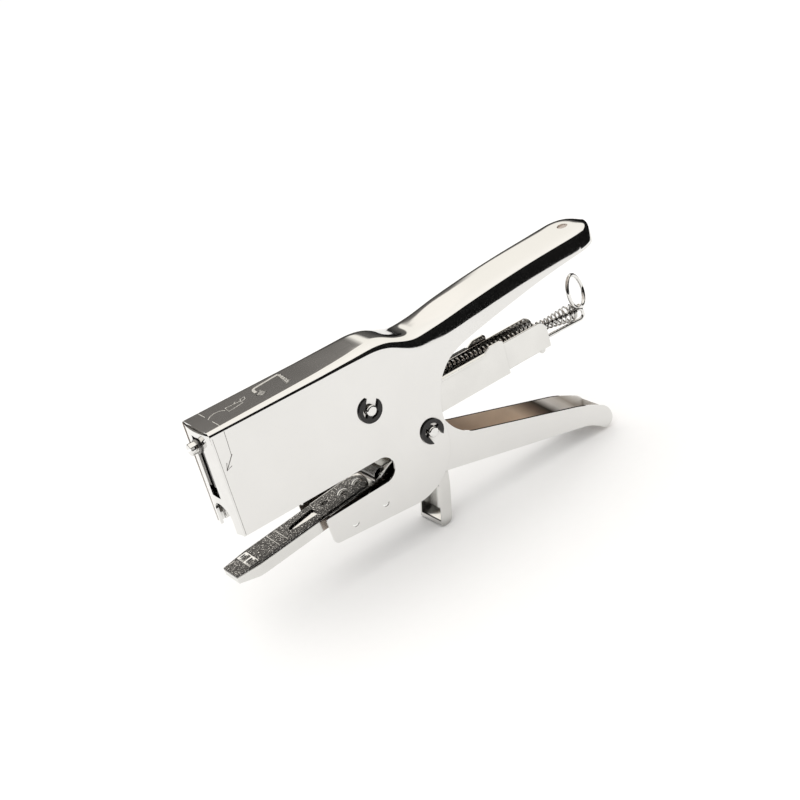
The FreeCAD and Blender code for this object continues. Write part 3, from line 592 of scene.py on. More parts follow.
def shell_section(x):
    """Half section from the top of the straight side up to the middle: a list of (y, z)."""
    half = max(eased_value(HALF_WIDTH, x) * tip_share(x), LEAST_HALF)
    top = crown(x)
    high = eased_value(SHOULDER_HIGH, x)
    wide = min(eased_value(SHOULDER_WIDE, x), half - LEAST_FLAT)
    lean = eased_value(LEAN, x) * half / HEAD_HALF
    square = eased_value(SQUARE, x)
    poles = [(half, top - high), (half - lean, top - high * (1.0 - square)),
             (half - wide * (1.0 - square) - LEAN_AT_TOP * lean, top), (half - wide, top)]
    found = []
    for i in range(SECTION_STEPS + 1):
        t = i / SECTION_STEPS
        shares = ((1 - t) ** 3, 3 * t * (1 - t) ** 2, 3 * t * t * (1 - t), t ** 3)
        found.append((sum(k * pole[0] for k, pole in zip(shares, poles)),
                      sum(k * pole[1] for k, pole in zip(shares, poles))))
    for i in range(1, CROWN_STEPS + 1):
        found.append(((half - wide) * (1 - i / CROWN_STEPS), top))
    return found


def three_point_arc(a, b, c):
    """Points after a, up to c, on the circle through a, b and c."""
    d = 2 * (a[0] * (b[1] - c[1]) + b[0] * (c[1] - a[1]) + c[0] * (a[1] - b[1]))
    sa = a[0]**2 + a[1]**2
    sb = b[0]**2 + b[1]**2
    sc = c[0]**2 + c[1]**2
    cx = (sa * (b[1] - c[1]) + sb * (c[1] - a[1]) + sc * (a[1] - b[1])) / d
    cz = (sa * (c[0] - b[0]) + sb * (a[0] - c[0]) + sc * (b[0] - a[0])) / d
    radius = math.hypot(a[0] - cx, a[1] - cz)
    start = math.atan2(a[1] - cz, a[0] - cx)
    middle = math.atan2(b[1] - cz, b[0] - cx)
    end = math.atan2(c[1] - cz, c[0] - cx)
    while middle - start > math.pi:
        middle -= 2 * math.pi
    while middle - start < -math.pi:
        middle += 2 * math.pi
    while end - middle > math.pi:
        end -= 2 * math.pi
    while end - middle < -math.pi:
        end += 2 * math.pi
    return [(cx + radius * math.cos(start + (end - start) * i / ARC_STEPS),
             cz + radius * math.sin(start + (end - start) * i / ARC_STEPS)) for i in range(1, ARC_STEPS + 1)]


def cheek_outline():
    """Lower outline of a cheek, from its front bottom corner to the handle's side strip."""
    line = [(FRONT_EDGE, HEAD_DEPTH), (NICK[0], HEAD_DEPTH)]
    line += [(NICK[1], HEAD_DEPTH - NICK_HIGH), (NICK[2], HEAD_DEPTH - NICK_HIGH), (NICK[3], HEAD_DEPTH)]
    line += arc_points(THROAT, THROAT_R, 90, -90, THROAT_STEPS)
    line += SKIRT_FRONT
    line.append(SKIRT_REAR)
    line += three_point_arc(SKIRT_REAR, BELLY, CORNER)
    line += three_point_arc(CORNER, CORNER_REAR, NECK_LOW)
    line.append(NECK_HIGH)
    line += three_point_arc(NECK_HIGH, NECK_BEND, LOWER_EDGE[0])
    return line


def lug_outline(x, z):
    """Crescent hole of a lanced lug, as a list of (X, Z): the lower half circle and a sagging chord."""
    line = [(x + LUG_R * math.cos(math.radians(a)), z + LUG_R * math.sin(math.radians(a)))
            for a in range(180, 361, 20)]
    line += [(x + px, z - LUG_SAG * (1 - (px / LUG_R)**2)) for px in LUG_SAG_PLACES]
    return line


def stations():
    """X places of the sections: wide apart over the flat head, close over the neck and the tip."""
    xs = [FRONT_EDGE]
    x = FIRST_SECTION
    while x < NECK_START:
        xs.append(x)
        x += HEAD_STEP
    while x < SIDE_END - 0.5:
        xs.append(x)
        x += NECK_STEP
    x = SIDE_END
    while x < TIP_START:
        xs.append(x)
        x += NECK_STEP
    for i in range(TIP_STEPS + 1):
        xs.append(TIP_START + TIP_ROUND * math.sin(0.5 * math.pi * i / TIP_STEPS) * TIP_CLOSED)
    return xs


def add_cheek(mesh, side, rows, split):
    """Flat cheek under the head's shoulder, with its two lug holes. side is -1 (near) or 1 (far)."""
    y = side * HEAD_HALF
    first = 0 if side < 0 else -1
    step = -side
    top = [rows[i][first] for i in range(split)]
    rear = [rows[split][first + step * k] for k in range(STRIP_STEPS, -1, -1)]
    below = [mesh.verts.new(at(x, y, z)) for x, z in cheek_outline()[:-1]]
    ring = top + rear + below[::-1]
    edges = []
    for i in range(len(ring)):
        pair = (ring[i], ring[(i + 1) % len(ring)])
        found = mesh.edges.get(pair)
        edges.append(found if found else mesh.edges.new(pair))
    for lug in LUGS:
        hole = [mesh.verts.new(at(x, y, z)) for x, z in lug_outline(*lug)]
        for i in range(len(hole)):
            edges.append(mesh.edges.new((hole[i], hole[(i + 1) % len(hole)])))
    bmesh.ops.triangle_fill(mesh, edges=edges, use_beauty=True)


def make_housing():
    """Head and upper handle: one sheet with flat cheeks, a rounded top and a rolled handle."""
    xs = stations()
    mesh = bmesh.new()
    rows = []
    for x in xs:
        near = shell_section(x)
        if x >= SIDE_END:
            y, z = near[0]
            low = curve_value(LOWER_EDGE, x)
            near = [(y, low + (z - low) * k / STRIP_STEPS) for k in range(STRIP_STEPS)] + near
        ring = [(-y, z) for y, z in near] + [(y, z) for y, z in reversed(near[:-1])]
        rows.append([mesh.verts.new(at(x, y, z)) for y, z in ring])
    for a, b in zip(rows, rows[1:]):
        skip = STRIP_STEPS if len(a) < len(b) else 0
        for k in range(len(a) - 1):
            mesh.faces.new((a[k], a[k + 1], b[k + 1 + skip], b[k + skip]))
    for side in (-1, 1):
        add_cheek(mesh, side, rows, xs.index(SIDE_END))
    bmesh.ops.recalc_face_normals(mesh, faces=mesh.faces)
    data = bpy.data.meshes.new("housing")
    mesh.to_mesh(data)
    mesh.free()
    flat_top = [f for f in data.polygons
                if f.center.z > at(0, 0, 0.6 * FLAT_TOP).z and f.center.x < at(NECK_START, 0, 0).x]
    if flat_top and flat_top[0].normal.z < 0:
        data.flip_normals()
    piece = add_piece("housing", data, PLATE, "frame", ["body_shell"])
    thick = thicken(piece, SHEET)
    thick.use_even_offset = True
    thick.thickness_clamp = 1.0
    punch = cylinder_mesh("punch", HANG_HOLE, (0, 0, 1), HANG_HOLE_R, HANG_HOLE_LONG, 48)
    cutter = cut_out(piece, "punch", punch)
    smooth(piece, 60)
    apply_modifiers(piece)
    bpy.data.objects.remove(cutter)
    # Inner faces, and the downward faces inside the top, get the darker inside copy: painted shade in the
    # hollow of the shell.
    piece.data.materials.append(INSIDE_SATIN_SHADED)
    for face in piece.data.polygons:
        inwards = face.normal.y * face.center.y < 0 and abs(face.normal.y) > FACING
        below = face.normal.z < -FACING and face.center.z > at(0, 0, HANDLE_INSIDE_FLOOR).z
        if inwards or below:
            face.material_index = 1
    smooth(piece, 40)
    round_edges(piece, *SHEET_EDGES)


def cylinder_mesh(name, start, direction, radius, length, sides):
    """Closed cylinder from a head-frame point along a direction."""
    along = Vector(direction).normalized()
    across = along.orthogonal().normalized()
    other = along.cross(across)
    points = []
    for end in (0.0, length):
        for k in range(sides):
            a = 2 * math.pi * k / sides
            points.append(tuple(Vector(start) + along * end
                                + (across * math.cos(a) + other * math.sin(a)) * radius))
    return mesh_from(name, points, tube_faces(sides))


# ---- jaw plate ----
JAW_TOP = -65.2
JAW_SLOPE = math.atan(0.105)
JAW_GAUGE = 0.9
# Outlines on the level plate, as (X, Y).
JAW_EDGE = [(-7.6, -5.5), (4.0, -6.9), (60.0, -6.9)]
JAW_END = (58.0, 0.0)
JAW_END_R = 7.4
POCKET = [(-0.6, -5.9), (4.6, -6.3), (4.6, 6.3), (-0.6, 5.9)]
POCKET_CUT = 0.5
SLOT = [(26.6, -1.8), (37.4, -2.9), (38.1, -2.4), (38.4, 0.0), (38.1, 2.4), (37.4, 2.9), (26.6, 1.8),
        (24.4, 0.9), (23.8, 0.0), (24.4, -0.9)]
BOWL_X = 43.6
BOWL_R = 2.2
BOWL_SIDES = 20
BOWL_RINGS = [(0.35, -0.6), (0.75, -0.42), (1.0, 0.0), (1.0, 0.8)]     # share of the radius, height
STEP_MARKS = (15.6, 20.0)
STEP_MARK_ENDS = (-5.4, 6.0)
MARK_LIFT = 0.02


def tilted(x, y, z):
    """Point of the level jaw plate turned to the jaw's rest angle."""
    up = z - JAW_TOP
    return (x * math.cos(JAW_SLOPE) - up * math.sin(JAW_SLOPE), y,
            JAW_TOP + x * math.sin(JAW_SLOPE) + up * math.cos(JAW_SLOPE))


def on_jaw(x, y):
    return tilted(x, y, JAW_TOP + MARK_LIFT)


def prism(name, plan, low, high):
    """Closed prism between two heights over the jaw's top, in the jaw's own tilted frame."""
    points = [tilted(x, y, JAW_TOP + rise) for rise in (low, high) for x, y in plan]
    return mesh_from(name, points, tube_faces(len(plan)))


def make_clinch_plate():
    """Jaw plate with its pocket, its long hole, the dimple and two step marks."""
    plan = JAW_EDGE + arc_points(JAW_END, JAW_END_R, -68, 68, 10) + [(x, -y) for x, y in reversed(JAW_EDGE)]
    plate = add_piece("jaw_plate", prism("jaw_plate", plan, -JAW_GAUGE, 0.0), HAMMERED, "anvil",
                      ["clinch_plate"])
    bowl = []
    for share, rise in BOWL_RINGS:
        for k in range(BOWL_SIDES):
            a = 2 * math.pi * k / BOWL_SIDES
            bowl.append(tilted(BOWL_X + BOWL_R * share * math.cos(a), BOWL_R * share * math.sin(a),
                               JAW_TOP + rise))
    tools = [prism("pocket", POCKET, -POCKET_CUT, 1.0), prism("slot", SLOT, -2.0, 1.0),
             mesh_from("bowl", bowl, tube_faces(BOWL_SIDES, len(BOWL_RINGS)))]
    cutters = [cut_out(plate, "cut_%d" % i, tool) for i, tool in enumerate(tools)]
    apply_modifiers(plate)
    for cutter in cutters:
        bpy.data.objects.remove(cutter)
    smooth(plate, 30)
    soften(plate, 0.28, angle=40.0, merge=False)
    points = []
    faces = []
    for x in STEP_MARKS:
        strip_faces(points, faces, [(x, y) for y in STEP_MARK_ENDS], 0.36, on_jaw)
    add_piece("jaw_marks", mesh_from("jaw_marks", points, faces), MARK, "anvil")


INSERT_FRONT = -0.5
INSERT_LONG = 5.0
INSERT_HALF = 5.8
INSERT_SINK = 0.09         # how far the insert's face lies under the jaw's top
INSERT_RIM = 0.12
INSERT_GAUGE = 0.25
HOLLOW_DEEP = 0.62
HOLLOW_PLACE = (2.0, 2.9)
HOLLOW_HALF = (2.1, 2.3)


def make_clinch_pocket():
    """Bright insert in the jaw plate with two hollows that turn the staple legs inwards."""
    columns = 40
    rows = 14
    points = []
    for i in range(rows + 1):
        x = INSERT_FRONT + INSERT_LONG * i / rows
        lengthwise = max(0.0, 1.0 - ((x - HOLLOW_PLACE[0]) / HOLLOW_HALF[0]) ** 4)
        for k in range(columns + 1):
            y = -INSERT_HALF + 2 * INSERT_HALF * k / columns
            crosswise = max(0.0, 1.0 - ((abs(y) - HOLLOW_PLACE[1]) / HOLLOW_HALF[1]) ** 2)
            rim = INSERT_RIM if i in (0, rows) or k in (0, columns) else 0.0
            sink = INSERT_SINK + HOLLOW_DEEP * crosswise * lengthwise - rim
            points.append(tilted(x, y, JAW_TOP - sink))
    faces = []
    for i in range(rows):
        for k in range(columns):
            a = i * (columns + 1) + k
            faces.append((a, a + 1, a + columns + 2, a + columns + 1))
    piece = add_piece("clinch_pocket", mesh_from("clinch_pocket", points, faces), PLATE_SMALL, "anvil")
    if piece.data.polygons[0].normal.z < 0:
        piece.data.flip_normals()
    smooth(piece, 50)
    thicken(piece, INSERT_GAUGE)


# ---- wires ----
ROD_R = 0.9
ROD_Z = -31.2
ROD_FRONT = 40.0
ROD_BEND_X = 108.0
ROD_BEND_R = 60.0
ROD_END = (197.3, -38.8)
ROD_DROP = (ROD_END[1] - ROD_Z) / (ROD_END[0] - ROD_BEND_X)
HOOK_DROP = 5.0
HOOK_END = 163.0
HOOK_RISE = 1.2
BEND_STEP = 0.8
RING_R = 7.4
RING_NECK = 0.6            # how much the ring widens where its ends meet the rod
RING_NECK_AT = 250.0
RING_RISE = 9.9
RING_TURN = 33.0
RING_UP = (-0.2, 0.0, 0.98)
RING_START = 258.0
RING_SWEEP = 392.0
RING_STEPS = 56
RING_SIDE = 0.5
RING_PITCH = 2.1
COIL_STEPS = 14


def rounded_path(corners):
    """Points along straight runs with rounded corners. Each corner is (x, y, z, bend radius)."""
    points = [Vector(corners[0][:3])]
    for before, corner, after in zip(corners, corners[1:], corners[2:]):
        here = Vector(corner[:3])
        into = (Vector(before[:3]) - here).normalized()
        away = (Vector(after[:3]) - here).normalized()
        half_turn = into.angle(away) / 2.0
        back = corner[3] / math.tan(half_turn)
        centre = here + (into + away).normalized() * (corner[3] / math.sin(half_turn))
        start = here + into * back - centre
        end = here + away * back - centre
        turn = start.rotation_difference(end)
        count = max(3, int(corner[3] * turn.angle / BEND_STEP) + 2)
        for k in range(count + 1):
            points.append(centre + Quaternion(turn.axis, turn.angle * k / count) @ start)
    points.append(Vector(corners[-1][:3]))
    return points


def make_guide_wire():
    """Guide wire of the feeder with its latch hook, and the pull ring wound from the same wire."""
    end_x, end_z = ROD_END
    low = end_z - HOOK_DROP
    path = rounded_path([(ROD_FRONT, 0, ROD_Z, 0), (ROD_BEND_X, 0, ROD_Z, ROD_BEND_R), (end_x, 0, end_z, 2.0),
                         (end_x, 0, low, 2.2), (HOOK_END, 0, low + HOOK_RISE, 0)])
    add_piece("guide_wire", wire_mesh("guide_wire", path, ROD_R, 12), PLATE_SMALL, "feeder",
              ["feeder_rod"])
    turn = math.radians(RING_TURN)
    flat_way = Vector((math.cos(turn), math.sin(turn), 0.0))
    side_way = Vector((-math.sin(turn), math.cos(turn), 0.0))
    up_way = Vector(RING_UP)
    centre = Vector((end_x, 0, end_z)) + up_way * RING_RISE
    loop = [Vector((end_x + 0.6, 0.6, end_z - 0.2)), Vector((end_x + 0.1, 0.5, end_z + 1.0))]
    for k in range(RING_STEPS + 1):
        share = k / RING_STEPS
        a = math.radians(RING_START - RING_SWEEP * share)
        radius = RING_R + RING_NECK * math.cos(a - math.radians(RING_NECK_AT)) ** 4
        flat = radius * math.cos(a)
        side = RING_SIDE - RING_PITCH * share
        loop.append(centre + flat_way * flat + side_way * side + up_way * radius * math.sin(a))
    add_piece("pull_ring", wire_mesh("pull_ring", loop, ROD_R, 12), PLATE_SMALL, "feeder")


def helix(start, along, radius, length, turns, phase):
    """Points of a coil from a head-frame point along a level direction."""
    along = Vector(along).normalized()
    across = along.cross(Vector((0, 0, 1))).normalized()
    other = along.cross(across)
    found = []
    count = int(turns * COIL_STEPS)
    for k in range(count + 1):
        share = k / count
        a = phase + 2 * math.pi * turns * share
        around = across * math.cos(a) + other * math.sin(a)
        found.append(Vector(start) + along * length * share + around * radius)
    return found


FEED_FRONT = 46.6
FEED_REAR = ROD_END[0] - 6.6
FEED_TURNS = 60
FEED_STEPS = 16
FEED_COIL_R = 2.3
FEED_WIRE_R = 0.45
FLARE_LONG = 15.0
FLARE_WIDE = 1.8
FLARE_POWER = 1.2
COIL_LEAN = 0.25


def make_feed_spring():
    """Feed spring wound round the guide wire. Its last coils open out against the stop."""
    full = FEED_REAR - FEED_FRONT
    count = FEED_TURNS * FEED_STEPS
    path = []
    for k in range(count + 1):
        share = k / count
        x = FEED_FRONT + full * share
        beyond = max(0.0, x - ROD_BEND_X)
        z = ROD_Z + beyond * ROD_DROP
        flare = max(0.0, (x - (FEED_REAR - FLARE_LONG)) / FLARE_LONG)
        r = FEED_COIL_R + FLARE_WIDE * flare ** FLARE_POWER
        a = 2 * math.pi * FEED_TURNS * share
        lean = COIL_LEAN * r * math.cos(a)
        path.append((x + lean * ROD_DROP, r * math.sin(a), z + r * math.cos(a)))
    spring = add_piece("feed_spring", wire_mesh("feed_spring", path, FEED_WIRE_R, 8), WIRE, "feeder",
                       ["feeder_spring"])
    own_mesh(spring)


RETURN_WIRE_R = 0.6
RETURN_COIL_R = 4.3
RETURN_COIL_LONG = 2.1
RETURN_TURNS = 2.0
RETURN_COILS_Y = (6.0, -3.9)
RETURN_LEG_Y = -6.1


def make_return_spring():
    """Double torsion spring on the upper pin: two coils, a bridge and two legs."""
    x, z = PIN_A
    coil_r = RETURN_COIL_R
    path = [Vector((x - 24.0, RETURN_COILS_Y[0], z + 20.4)), Vector((x - 1.0, RETURN_COILS_Y[0], z + coil_r))]
    for y in RETURN_COILS_Y:
        path += helix((x, y, z), (0, -1, 0), coil_r, RETURN_COIL_LONG, RETURN_TURNS, -0.5 * math.pi)
    add_piece("return_spring", wire_mesh("return_spring", path, RETURN_WIRE_R, 8), WIRE, "frame",
              ["handle_spring"])
    leg = rounded_path([(x + coil_r - 0.4, RETURN_LEG_Y, z - 1.0, 0),
                        (x + coil_r + 0.2, RETURN_LEG_Y, z + 2.0, 3.0), (x + 7.6, RETURN_LEG_Y, z + 9.4, 0)])
    add_piece("return_spring_leg", wire_mesh("return_spring_leg", leg, RETURN_WIRE_R, 8), WIRE, "handle")


SPRING_PIN = (70.0, -58.6)
JAW_WIRE_R = 0.45
JAW_COIL_R = 3.1
JAW_COIL_Y = -5.4
JAW_COIL_LONG = 10.8
JAW_TURNS = 11.0
JAW_LEG_STEP = 0.9
JAW_LEG_POINTS = 14


def make_jaw_spring():
    """Torsion spring on the spring pin. One leg presses on the magazine floor."""
    x, z = SPRING_PIN
    coil_r = JAW_COIL_R
    coil = helix((x, JAW_COIL_Y, z), (0, 1, 0), coil_r, JAW_COIL_LONG, JAW_TURNS, 0.5 * math.pi)
    tail = [Vector((x + 12.0, JAW_COIL_Y, z + 4.2)), Vector((x + 1.0, JAW_COIL_Y, z + coil_r))]
    add_piece("jaw_spring", wire_mesh("jaw_spring", tail + coil, JAW_WIRE_R, 8), WIRE, "anvil",
              ["anvil_spring"])
    leg = [(x - coil_r, -JAW_COIL_Y, z - 0.4 + JAW_LEG_STEP * k) for k in range(JAW_LEG_POINTS)]
    piece = add_object("jaw_spring_leg", wire_mesh("jaw_spring_leg", leg, JAW_WIRE_R, 8))
    piece.data.materials.append(WIRE)
    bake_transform(piece)


# ---- staples ----
STAPLE_HALF = 5.9
STAPLE_TOP = -34.2
STAPLE_LEG = 11.0
STAPLE_WIRE = 0.58
STAPLE_PITCH = 0.66
STAPLE_JITTER = 0.03
STRIP_FRONT = 1.75
STRIP_REAR = 37.0


def staple_outline():
    """Front view of one staple as (y, z): the outside with its two rounded corners, then the inside."""
    half = STAPLE_HALF
    top = STAPLE_TOP
    foot = top - STAPLE_LEG
    inner = half - STAPLE_WIRE
    roof = top - STAPLE_WIRE - 0.1
    outside = [(-half, foot), (-half, top - 0.35), (-half + 0.12, top - 0.1), (-half + 0.35, top)]
    outside += [(-y, z) for y, z in reversed(outside)]
    return outside + [(inner, foot + 0.15), (inner, roof), (-inner, roof), (-inner, foot + 0.15)]


def make_staples():
    """Strip of glued staples: one bent wire after another with a fine gap between them."""
    profile = staple_outline()
    count = len(profile)
    points = []
    faces = []
    x = STRIP_FRONT
    while x + STAPLE_WIRE < STRIP_REAR:
        jitter = random.uniform(-STAPLE_JITTER, STAPLE_JITTER)
        base = len(points)
        for end in (x, x + STAPLE_WIRE):
            points += [(end, y + jitter, z) for y, z in profile]
        for k in range(count):
            a = base + k
            b = base + (k + 1) % count
            faces.append((a, b, b + count, a + count))
        for ring, flip in ((base, 1), (base + count, -1)):
            for quad in ((0, 1, 10, 11), (1, 2, 3, 10), (3, 4, 9, 10), (4, 5, 6, 9), (6, 7, 8, 9)):
                faces.append(tuple(ring + k for k in quad)[::flip])
        x += STAPLE_PITCH
    add_piece("staples", mesh_from("staples", points, faces), STAPLE, "frame",
              ["staple_strip"])


# ---- stamped marks ----
# Each line is (places, width), and for the top also whether it closes. Places on the cheek are (X, Z).
TOP_LINES = [
    ([(6.55, 10.1), (6.5, 3.5)], 0.34, False),
    ([(6.4, -3.0), (6.3, -9.6)], 0.34, False),
    ([(6.1, 0.1), (8.2, 2.0), (10.3, 2.7), (12.7, 2.5), (14.6, 0.4)], 0.42, False),
    ([(15.6, 2.3), (22.4, 1.5), (22.4, -0.9), (15.0, -2.1)], 0.42, True),
    ([(20.9, 3.2), (19.6, 1.9)], 0.4, False),
    ([(22.4, 0.6), (23.4, 3.3), (25.4, 3.3), (24.9, 1.6), (23.0, 0.6)], 0.36, False)]
TOP_FIELDS = [
    [(29.0, -0.5), (30.3, -4.2), (33.4, -1.9), (32.6, 2.3)],
    [(43.8, 6.2), (45.4, 6.8), (44.4, -3.2), (41.8, -4.4)]]
TOP_BAND = [(30.2, 1.6), (30.6, 4.6), (31.4, 5.7), (33.4, 6.2), (44.6, 7.3)]
TOP_BAND_WIDTH = 1.3
FIELD_LINES = 5
FIELD_LINE_WIDTH = 0.26
FIELD_EDGE_WIDTH = 0.36
SIDE_LINES = [
    ([(6.3, -1.4), (6.2, -6.0), (5.95, -12.4)], 0.22),
    ([(6.3, -12.0), (2.0, -17.6)], 0.42),
    ([(3.0, -14.4), (2.0, -17.6), (4.7, -16.6)], 0.34),
    ([(0.55, -2.2), (0.55, -47.6)], 0.16)]


def strip_faces(points, faces, path, width, place, closed=False):
    """Adds a flat strip along a plan path. place turns plan points into head-frame points."""
    count = len(path)
    base = len(points)
    for i, (u, v) in enumerate(path):
        before = path[i - 1] if i > 0 or closed else path[0]
        after = path[(i + 1) % count] if i < count - 1 or closed else path[-1]
        along = Vector((after[0] - before[0], after[1] - before[1])).normalized()
        side = Vector((-along.y, along.x)) * width / 2
        points.append(place(u + side.x, v + side.y))
        points.append(place(u - side.x, v - side.y))
    for i in range(count if closed else count - 1):
        a = base + 2 * i
        b = base + 2 * ((i + 1) % count)
        faces.append((a, b, b + 1, a + 1))


def on_top(x, y):
    return (x, y, crown(x) + MARK_LIFT)


def on_cheek(x, z):
    return (x, -HEAD_HALF - MARK_LIFT, z)


def hatch(points, faces, corners):
    """Fills a four-cornered field of the top with crossing fine lines."""
    a, b, c, d = [Vector(p) for p in corners]
    for k in range(FIELD_LINES + 1):
        share = k / FIELD_LINES
        for start, end in ((a.lerp(b, share), d.lerp(c, share)), (a.lerp(d, share), b.lerp(c, share))):
            strip_faces(points, faces, [tuple(start), tuple(end)], FIELD_LINE_WIDTH, on_top)


def make_top_marks():
    """Depth line and the two loading pictograms pressed into the head."""
    points = []
    faces = []
    for path, width, closed in TOP_LINES:
        strip_faces(points, faces, path, width, on_top, closed)
    for corners in TOP_FIELDS:
        hatch(points, faces, corners)
        strip_faces(points, faces, corners, FIELD_EDGE_WIDTH, on_top, True)
    strip_faces(points, faces, TOP_BAND, TOP_BAND_WIDTH, on_top)
    add_piece("top_marks", mesh_from("top_marks", points, faces), MARK, "frame")


def make_side_marks():
    """Scribed line with its arrow, and the seam at the front edge of the near cheek."""
    points = []
    faces = []
    for path, width in SIDE_LINES:
        strip_faces(points, faces, path, width, on_cheek)
    add_piece("side_marks", mesh_from("side_marks", points, faces), MARK_DARK, "frame")


make_camera()
make_housing()
for node in ("front_plate", "anvil_rivets", "spring_pin", "spring_stop", "driver_screw"):
    dress(node, PLATE_SMALL, 0.18)
for node in ("upper_pin", "lower_pin"):
    dress(node, PLATE_SMALL, 0.3, segments=3)
for node in ("magazine_channel", "feeder_slide", "anvil_arm", "anvil_bracket", "magazine_rivets",
             "lever_rivets"):
    dress(node, PLATE_SHEET, 0.2)
dress("lower_handle", PLATE, 0.45, segments=4)
# The lower handle's inner faces get the copy with painted reflection and shade bands.
line_inside(NODES["lower_handle"], 9.3, INSIDE_LOWER_PAINTED)
# Black top edges on the magazine channel: painted shade along its lip.
edge_faces(NODES["magazine_channel"], 1.1, OXIDE)
dress("e_clips", OXIDE, 0.15)
for node in ("driver_blade", "driver_carriage", "driver_bush", "driver_lever", "drive_studs",
             "magazine_core", "driver_guide_far", "driver_guide_near", "pusher"):
    dress(node, BARE, 0.12)
for maker in (make_clinch_plate, make_clinch_pocket, make_guide_wire, make_feed_spring,
              make_return_spring, make_jaw_spring, make_staples, make_top_marks, make_side_marks):
    maker()


# ---- floor and light ----
FLOOR_HALF = 6.0
FLOOR_SHADES = (0.94, 0.96)
SOFT_COLOUR = (1.0, 0.99, 0.975, 1.0)
SOFT_STRENGTH = 1.05
GLOSS_STRENGTH = 1.28
# Reflected walls: (height of the direction, colour).
DARK_WALL = [
    (0.0, (0.012, 0.012, 0.012)), (0.16, (0.04, 0.038, 0.036)), (0.34, (0.10, 0.095, 0.09)),
    (0.43, (0.17, 0.16, 0.15)), (0.447, (0.96, 0.92, 0.86)), (0.7, (1.0, 0.965, 0.91)),
    (1.0, (1.0, 0.97, 0.92))]
BRIGHT_WALL = [
    (0.0, (0.012, 0.012, 0.012)), (0.30, (0.12, 0.115, 0.108)), (0.335, (0.90, 0.87, 0.81)),
    (1.0, (1.0, 0.97, 0.92))]
WALL_EDGE = (25.0, 28.0)       # bearing in degrees where the dark wall passes into the bright one
LIGHT_PLACE = (-0.2, 0.2, 1.5)
LIGHT_AIM = (0, 0, 0.05)
LIGHT_SIZE = (2.0, 1.6)
LIGHT_POWER = 5.5
LIGHT_COLOUR = (1.0, 0.96, 0.90)


def make_floor():
    mesh = bpy.data.meshes.new("floor")
    size = FLOOR_HALF
    corners = [(-size, -size, 0), (size, -size, 0), (size, size, 0), (-size, size, 0)]
    mesh.from_pydata(corners, [], [(0, 1, 2, 3)])
    floor = add_object("floor", mesh)
    material, make, link, shader = new_material("floor_paper")
    shader.inputs["Roughness"].default_value = 0.9
    place = make("ShaderNodeTexCoord")
    fibre = make("ShaderNodeTexNoise", Scale=220.0, Detail=3.0)
    link(place.outputs["Object"], fibre.inputs["Vector"])
    ramp = make("ShaderNodeValToRGB")
    for stop, shade in zip(ramp.color_ramp.elements, FLOOR_SHADES):
        stop.color = (shade, shade, shade, 1)
    link(fibre.outputs["Fac"], ramp.inputs["Fac"])
    link(ramp.outputs["Color"], shader.inputs["Base Color"])
    mesh.materials.append(material)


def height_ramp(make, link, height, stops):
    """Colour against the height of a direction."""
    ramp = make("ShaderNodeValToRGB")
    link(height, ramp.inputs["Fac"])
    elements = ramp.color_ramp.elements
    set_stop(elements[0], *stops[0])
    set_stop(elements[1], *stops[-1])
    for position, colour in stops[1:-1]:
        elements.new(position).color = (*colour, 1)
    return ramp.outputs["Color"]


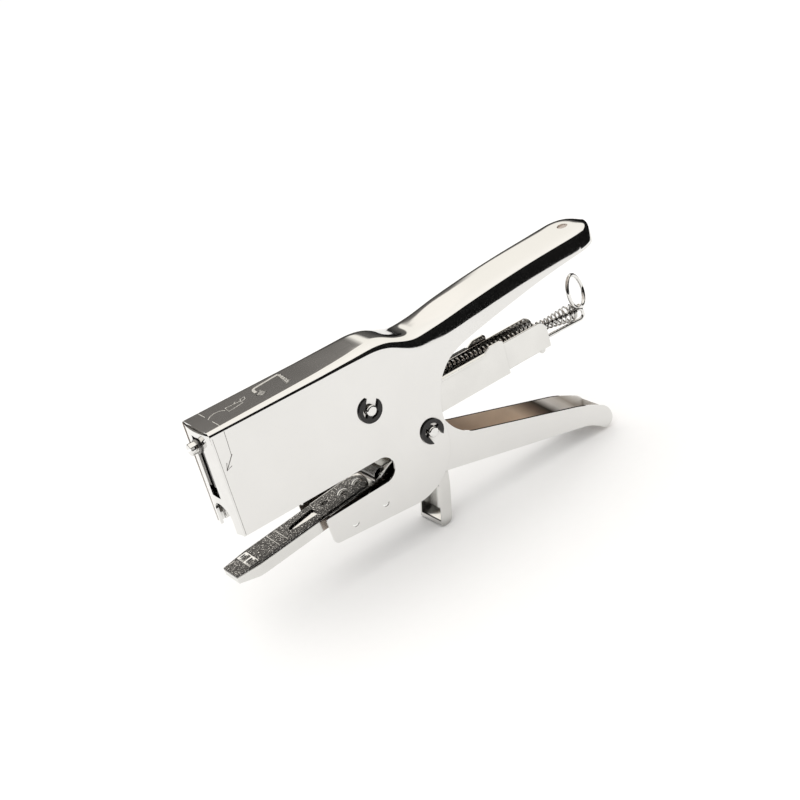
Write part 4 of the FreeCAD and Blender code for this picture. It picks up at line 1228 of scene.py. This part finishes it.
def make_world():
    """Soft white surround for light. Reflections see a studio: a dark wall behind the head with a
    softbox above it, and a bright wall to the right that starts just over the horizon."""
    world = bpy.data.worlds.new("studio")
    bpy.context.scene.world = world
    world.use_nodes = True
    world.node_tree.nodes.clear()
    make, link = node_maker(world)
    soft = make("ShaderNodeBackground", Color=SOFT_COLOUR, Strength=SOFT_STRENGTH)
    gloss = make("ShaderNodeBackground", Strength=GLOSS_STRENGTH)
    place = make("ShaderNodeTexCoord")
    split = make("ShaderNodeSeparateXYZ")
    link(place.outputs["Generated"], split.inputs["Vector"])
    bearing = make("ShaderNodeMath", operation="ARCTAN2")
    link(split.outputs["X"], bearing.inputs[0])
    link(split.outputs["Y"], bearing.inputs[1])
    side = make("ShaderNodeMapRange", interpolation_type="SMOOTHSTEP")
    side.inputs["From Min"].default_value = math.radians(WALL_EDGE[0])
    side.inputs["From Max"].default_value = math.radians(WALL_EDGE[1])
    link(bearing.outputs["Value"], side.inputs["Value"])
    walls = make("ShaderNodeMix", data_type="RGBA")
    colours_in = [socket for socket in walls.inputs if socket.type == "RGBA"]
    colours_out = [socket for socket in walls.outputs if socket.type == "RGBA"]
    link(side.outputs["Result"], walls.inputs[0])
    for socket, stops in zip(colours_in, (DARK_WALL, BRIGHT_WALL)):
        link(height_ramp(make, link, split.outputs["Z"], stops), socket)
    link(colours_out[0], gloss.inputs["Color"])
    path = make("ShaderNodeLightPath")
    mix = make("ShaderNodeMixShader")
    link(path.outputs["Is Glossy Ray"], mix.inputs["Fac"])
    link(soft.outputs["Background"], mix.inputs[1])
    link(gloss.outputs["Background"], mix.inputs[2])
    out = make("ShaderNodeOutputWorld")
    link(mix.outputs["Shader"], out.inputs["Surface"])


def make_light():
    data = bpy.data.lights.new("softbox", "AREA")
    data.shape = "RECTANGLE"
    data.size = LIGHT_SIZE[0]
    data.size_y = LIGHT_SIZE[1]
    data.energy = LIGHT_POWER
    data.color = LIGHT_COLOUR
    light = add_object("softbox", data)
    light.location = LIGHT_PLACE
    light.rotation_mode = "QUATERNION"
    light.rotation_quaternion = (Vector(LIGHT_AIM) - light.location).to_track_quat("-Z", "Y")
    light.visible_glossy = False


def make_card(name, start, end, height):
    """Black upright card from start to end on the floor. It shows in reflections only."""
    mesh = bpy.data.meshes.new(name)
    mesh.from_pydata([(*start, 0.0), (*end, 0.0), (*end, height), (*start, height)], [], [(0, 1, 2, 3)])

    card = add_object(name, mesh)
    material, _, _, shader = new_material(name)
    shader.inputs["Base Color"].default_value = (0.008, 0.008, 0.008, 1.0)
    shader.inputs["Roughness"].default_value = 1.0
    shader.inputs["Specular IOR Level"].default_value = 0.0
    mesh.materials.append(material)
    card.visible_camera = False
    card.visible_diffuse = False
    card.visible_shadow = False
    card.visible_transmission = False


make_floor()
make_card("near_card", (-1.6, -0.42), (1.8, -0.42), 0.62)
make_card("rear_card", (0.38, -0.35), (0.38, 0.5), 0.19)
make_world()
make_light()
bpy.context.scene.view_settings.view_transform = "Standard"
